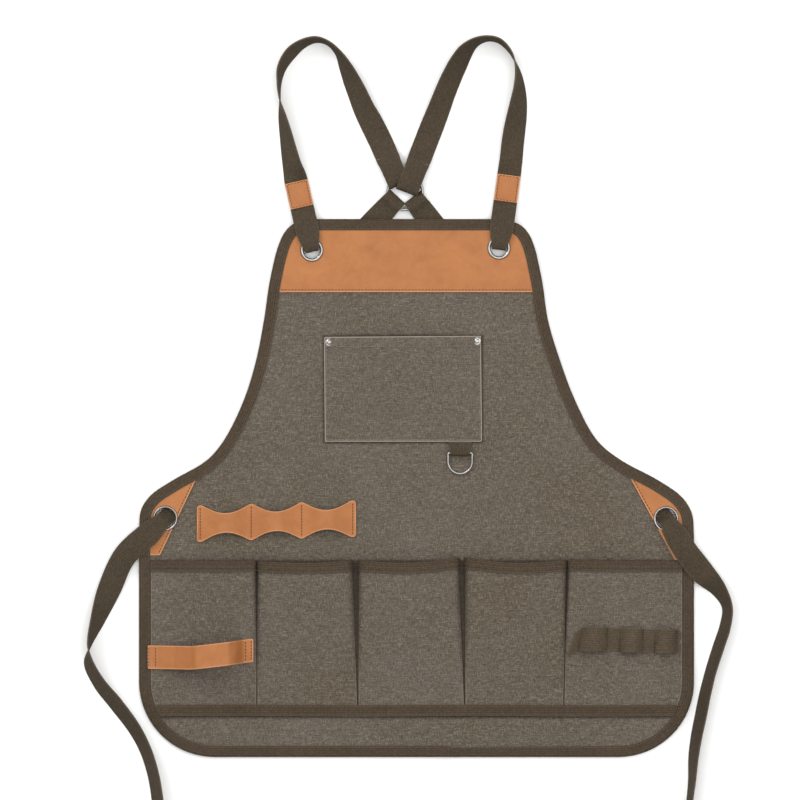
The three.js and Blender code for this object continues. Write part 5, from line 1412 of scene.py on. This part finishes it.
class Pocket:
    """One tool pocket between two seams, or a seam and the side binding."""

    def __init__(self, index):
        self.first = index == 0
        self.last = index == len(DIVIDERS)
        self.before = None if self.first else DIVIDERS[index - 1]
        self.after = None if self.last else DIVIDERS[index]
        self.depth = END_POCKET_DEPTH if self.first or self.last else POCKET_DEPTH
        self.left_side = BINDING_SIDE if self.first else SEAM_SIDE
        self.right_side = BINDING_SIDE if self.last else SEAM_SIDE
        self.sag = 0.0 if self.first or self.last else 2.2
        self.index = index

    def left_at(self, y):
        return -side_limit(y) if self.first else seam_edge(self.before, y, 1)

    def right_at(self, y):
        return side_limit(y) if self.last else seam_edge(self.after, y, -1)

    def rise(self, x, y):
        x, y = np.asarray(x, float), np.asarray(y, float)
        left, right = self.left_at(y), self.right_at(y)
        down = (POCKET_ROW_HEIGHT - y) / (POCKET_ROW_HEIGHT - BASE_TAPE_HEIGHT)
        half = (right - left) / 2 / self.depth
        from_left, from_right = (x - left) / self.depth, (right - x) / self.depth
        inward = np.minimum(from_left, from_right)
        tables = []
        for table in (self.left_side, self.right_side):
            full = [*table, (float(np.mean(half)), POCKET_MIDDLE_RISE)]
            tables.append((0.3 * read(full, inward) + 0.7 * soft_read(full, inward, 0.1)))
        near_left = from_left < from_right
        rise = np.where(near_left, tables[0], tables[1])
        return self.depth * rise * soft_read(POCKET_DOWN, down, 0.05)

    def face_height(self, x, y):
        """Height of the pocket's middle surface."""
        x, y = np.asarray(x, float), np.asarray(y, float)
        turn = self.index
        wave = (0.35 * np.sin(x / 16.0 + 1.3 * turn) * np.sin(y / 27.0 + 0.9 * turn)
                + 0.2 * np.sin((x + 0.6 * y) / 9.0 + turn))
        rise = self.rise(x, y)
        return ground(x, y) + SEAT + CANVAS / 2 + rise + wave * np.clip(rise / 5, 0, 1)

    def columns(self, y):
        left, right = float(self.left_at(y)), float(self.right_at(y))
        width = right - left
        sides = []
        for table in (self.left_side, self.right_side):
            keys = [row[0] * self.depth for row in table if row[0] * self.depth < width * 0.42]
            fine = []
            for a, b in zip(keys, keys[1:]):
                fine.extend(np.linspace(a, b, max(2, int((b - a) / 1.6) + 2), endpoint=False))
            fine.append(keys[-1])
            sides.append(np.array(fine))
        middle = np.linspace(sides[0][-1], width - sides[1][-1], 26)[1:-1]
        return np.r_[left + sides[0], left + middle, right - sides[1][::-1]]

    def mouth_drop(self, x, y):
        """The mouth's edge dips a little between its seams."""
        left, right = self.left_at(y), self.right_at(y)
        share = (x - left) / (right - left)
        drop = self.sag * np.sin(math.pi * np.clip(share, 0, 1)) ** 0.7
        for divider in (self.before, self.after):
            if divider:
                peak = MOUTH_PEAKS[DIVIDERS.index(divider)]
                drop = drop - peak * np.exp(-((x - divider[0] * HALF) / 34) ** 2)
        return drop

    def grid(self, rows):
        out = []
        for y in rows:
            x = self.columns(float(y))
            out.append(np.stack([x, np.full_like(x, y), self.face_height(x, np.full_like(x, y))], -1))
        grid = np.stack(out)
        near_mouth = smooth_step(grid[..., 1], POCKET_ROW_HEIGHT - 50, POCKET_ROW_HEIGHT)
        grid[..., 1] -= near_mouth * self.mouth_drop(grid[..., 0], grid[..., 1])
        return grid


POCKETS = [Pocket(i) for i in range(len(DIVIDERS) + 1)]
POCKET_NAMES = ["far_left", "left", "middle", "right", "far_right"]


def make_pockets():
    for pocket, name in zip(POCKETS, POCKET_NAMES):
        rows = np.linspace(POCKET_ROW_HEIGHT, BASE_TAPE_HEIGHT, 60)
        grid = pocket.grid(rows)
        flat_map = grid[..., :2] + np.array([50.0 * pocket.index, 900.0])
        piece = wall("pocket_canvas_" + name, "pocket_" + name, POCKET_CLOTH, grid, flat_map)
        width = float(pocket.right_at(POCKET_ROW_HEIGHT) - pocket.left_at(POCKET_ROW_HEIGHT))
        make_mouth_tape(pocket, name)
    make_base_tape()


def make_mouth_tape(pocket, name):
    top = pocket.grid([POCKET_ROW_HEIGHT])[0]
    foot = pocket.grid([POCKET_ROW_HEIGHT + GAP + TAPE - MOUTH_TAPE_WIDTH])[0]
    pair = np.stack([top, foot])
    normals = grid_normals(pair)[0]
    normals = normals * np.where(normals[:, 2:3] < 0, -1, 1)
    near = CANVAS / 2 + GAP + TAPE / 2
    # Folded section: share from mouth to foot, offset outwards, reach over the mouth
    section = [(1, -near, 0), (0.66, -near, 0), (0.33, -near, 0), (0, -near, 0), (0, -near * 0.8, 0.45),
               (0, -near * 0.3, 0.75), (0, near * 0.3, 0.75), (0, near * 0.8, 0.45), (0, near, 0),
               (0.16, near + 0.08, 0), (0.33, near + 0.1, 0), (0.5, near + 0.02, 0),
               (0.66, near + 0.1, 0), (0.84, near + 0.06, 0), (1, near, 0)]
    lines = []
    for share, out, over in section:
        point = top * (1 - share) + foot * share + normals * out
        point[:, 1] += over
        lines.append(point)
    grid = np.stack(lines, 1)
    flat_map = cut_map(travelled(grid[len(grid) // 2])[None], travelled(top)[:, None])
    wall("mouth_twill_" + name, "mouth_tape_" + name, TWILL, grid, flat_map, up=False)
    runs = []
    for share in (0.45, 0.86):
        points = top * (1 - share) + foot * share + normals * (near + TAPE / 2)
        runs.append((points, normals))
    stitches("mouth_stitches_" + name, runs, "binding", OLIVE_THREAD, 2.8, 0.9, 0.26)


def make_base_tape():
    left, right = sides_inside(BINDING_WIDTH + GAP)
    ys = BASE_TAPE_HEIGHT + BASE_TAPE_WIDTH * np.linspace(-0.5, 0.5, 9)
    x = between(left(ys), right(ys), 190)
    y = np.repeat(ys[:, None], 190, 1)
    wave = 0.12 * np.sin(x / 5.1) * np.cos((y - BASE_TAPE_HEIGHT) / 3)
    z = ground(x, y) + SEAT + CANVAS + GAP + TAPE / 2 + wave
    grid = np.stack([x, y + 0.4 * np.sin(x / 41.0), z], -1)
    wall("base_twill", "base_tape", TWILL, grid, grid[..., 1::-1].copy())
    runs = []
    for offset in (-4.2, 4.2):
        points = line((left(BASE_TAPE_HEIGHT) + 2, BASE_TAPE_HEIGHT + offset),
                      (right(BASE_TAPE_HEIGHT) - 2, BASE_TAPE_HEIGHT + offset), 5.0)
        points[:, 1] += 0.4 * np.sin(points[:, 0] / 41.0)
        runs.append(on_layer(points, SEAT + CANVAS + GAP + TAPE))
    stitches("base_tape_stitches", runs, "binding", OLIVE_THREAD, 2.8, 0.9, 0.26)


make_pockets()


# Loops

def make_loop_strip():
    left, right = spot(LOOP_STRIP["left"]), spot(LOOP_STRIP["right"])
    end = LOOP_STRIP["end"]
    alongs = np.r_[np.linspace(-end, 0, 9)[:-1], np.linspace(0, 1, 121), np.linspace(1, 1 + end, 9)[1:]]
    sides = np.linspace(-1, 1, 15)
    loop = np.clip(alongs, 0, 1) * LOOP_STRIP["loops"]
    phase = np.abs(np.sin(math.pi * loop))
    eased = (np.sqrt(phase ** 2 + 0.012) - 0.11) / 0.896
    half = LOOP_STRIP["half"] * LENGTH * (1 - (1 - LOOP_STRIP["waist"]) * eased)
    from_end = np.minimum(alongs + end, 1 + end - alongs) * np.linalg.norm(right - left)
    corner = np.clip(3.2 - from_end, 0, 3.2)
    half = half - (3.2 - np.sqrt(3.2 ** 2 - corner ** 2))
    middle = left + (right - left) * alongs[:, None]
    x = np.repeat(middle[:, 0][:, None], len(sides), 1)
    y = middle[:, 1][:, None] + half[:, None] * sides[None]
    z = (ground(x, y) + SEAT + LEATHER / 2 + (LOOP_STRIP_ARCH * phase ** 2)[:, None]
         + 0.25 * np.abs(sides[None]) ** 3 * phase[:, None])
    grid = np.stack([x, y, z], -1)
    wall("loop_strip_leather", "loop_strip", TAN, grid, grid[..., :2].copy())
    runs = []
    marks = [-end * 0.15, 1 / 3, 2 / 3, 1 + end * 0.15]
    for mark in marks:
        x, y = left + (right - left) * mark
        reach = LOOP_STRIP["half"] * LENGTH * 0.86
        runs.append(on_layer(line((x, y - reach), (x, y + reach), 3.0), LEATHER_FACE + 0.15))
    stitches("loop_strip_stitches", runs, "leather", BROWN_THREAD, 2.4, 0.9, 0.36)


def strap_on_pocket(name, node, cloth, pocket, ends, width, alongs, heights, slant=0.0, start_slant=0.0,
                    bend=0.0, droop=0.0):
    """A strap sewn to a pocket's wall and arched over it: its middle surface is given back."""
    start, end = spot(ends["left"]), spot(ends["right"])
    columns = 13
    sides = np.linspace(-0.5, 0.5, columns)
    middle = start + (end - start) * alongs[:, None]
    x = middle[:, 0][:, None] + slant * sides[None] * np.clip(heights / 4, 0, 1)[:, None]
    x = x + start_slant * sides[None] * (1 - smooth_step(alongs, 0.0, 0.16))[:, None]
    y = middle[:, 1][:, None] + sides[None] * width
    y = y - bend * read([(0, 0), (0.41, 1), (0.47, 0.96), (1, 0)], alongs)[:, None]
    y = y - droop * (1 - smooth_step(alongs, 0.0, 0.11))[:, None]
    seat = pocket.face_height(x, y) + CANVAS / 2 + 2 * GAP + cloth[0] / 2
    free = np.clip(heights / 3, 0, 1)[:, None]
    level = seat.mean(1, keepdims=True)
    z = seat * (1 - free) + level * free + heights[:, None]
    grid = np.stack([x, y, z], -1)
    flat_map = cut_map(sides[None] * width, travelled(grid[:, columns // 2])[:, None])
    wall(name, node, cloth, grid, flat_map)
    return grid


def rows_at(grid, alongs, marks, offset):
    """Stitch rows across a strap at shares of its length."""
    normals = grid_normals(grid)
    runs = []
    for mark in marks:
        i = int(np.argmin(np.abs(alongs - mark)))
        runs.append((grid[i, 1:-1] + normals[i, 1:-1] * offset, normals[i, 1:-1]))
    return runs


def make_handle_loop():
    alongs = np.linspace(0, 1, 110)
    heights = HANDLE_LOOP_ARCH * (0.45 * read(HANDLE_LOOP_FORM, alongs)
                                  + 0.55 * soft_read(HANDLE_LOOP_FORM, alongs, 0.022))
    grid = strap_on_pocket("handle_leather", "handle_loop", TAN, POCKETS[0], HANDLE_LOOP, HANDLE_LOOP_WIDTH,
                           alongs, heights, bend=3.4)
    runs = rows_at(grid, alongs, (0.012, 0.075, 0.925, 0.985), LEATHER / 2)
    stitches("handle_loop_stitches", runs, "leather", BROWN_THREAD, 2.4, 0.9, 0.36)


def make_loop_band():
    alongs = np.linspace(0, 1, 240)
    heights = np.zeros_like(alongs)
    for middle, half in BAND_LOOPS:
        inside = np.abs(alongs - middle) < half
        share = (alongs[inside] - middle) / half
        heights[inside] = LOOP_BAND_ARCH * np.sqrt(np.maximum(0, 1 - share ** 2)) ** 1.5
    grid = strap_on_pocket("loop_webbing", "loop_band", LOOP_TAPE, POCKETS[-1], LOOP_BAND, LOOP_BAND_WIDTH,
                           alongs, heights, slant=3.0, start_slant=9.0, droop=7.0)
    marks = [0.012]
    for middle, half in BAND_LOOPS:
        marks.extend((middle - half - 0.012, middle + half + 0.012))
    marks = [m for m in marks if 0 < m < 0.99]
    runs = rows_at(grid, alongs, marks, TAPE / 2)
    stitches("loop_band_stitches", runs, "webbing", OLIVE_THREAD, 2.4, 0.8, 0.24)


make_loop_strip()
make_handle_loop()
make_loop_band()

# A solid that came without a material looks like metal
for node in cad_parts.values():
    if node.type == 'MESH' and not node.data.materials:
        node.data.materials.append(METAL_LOOK)
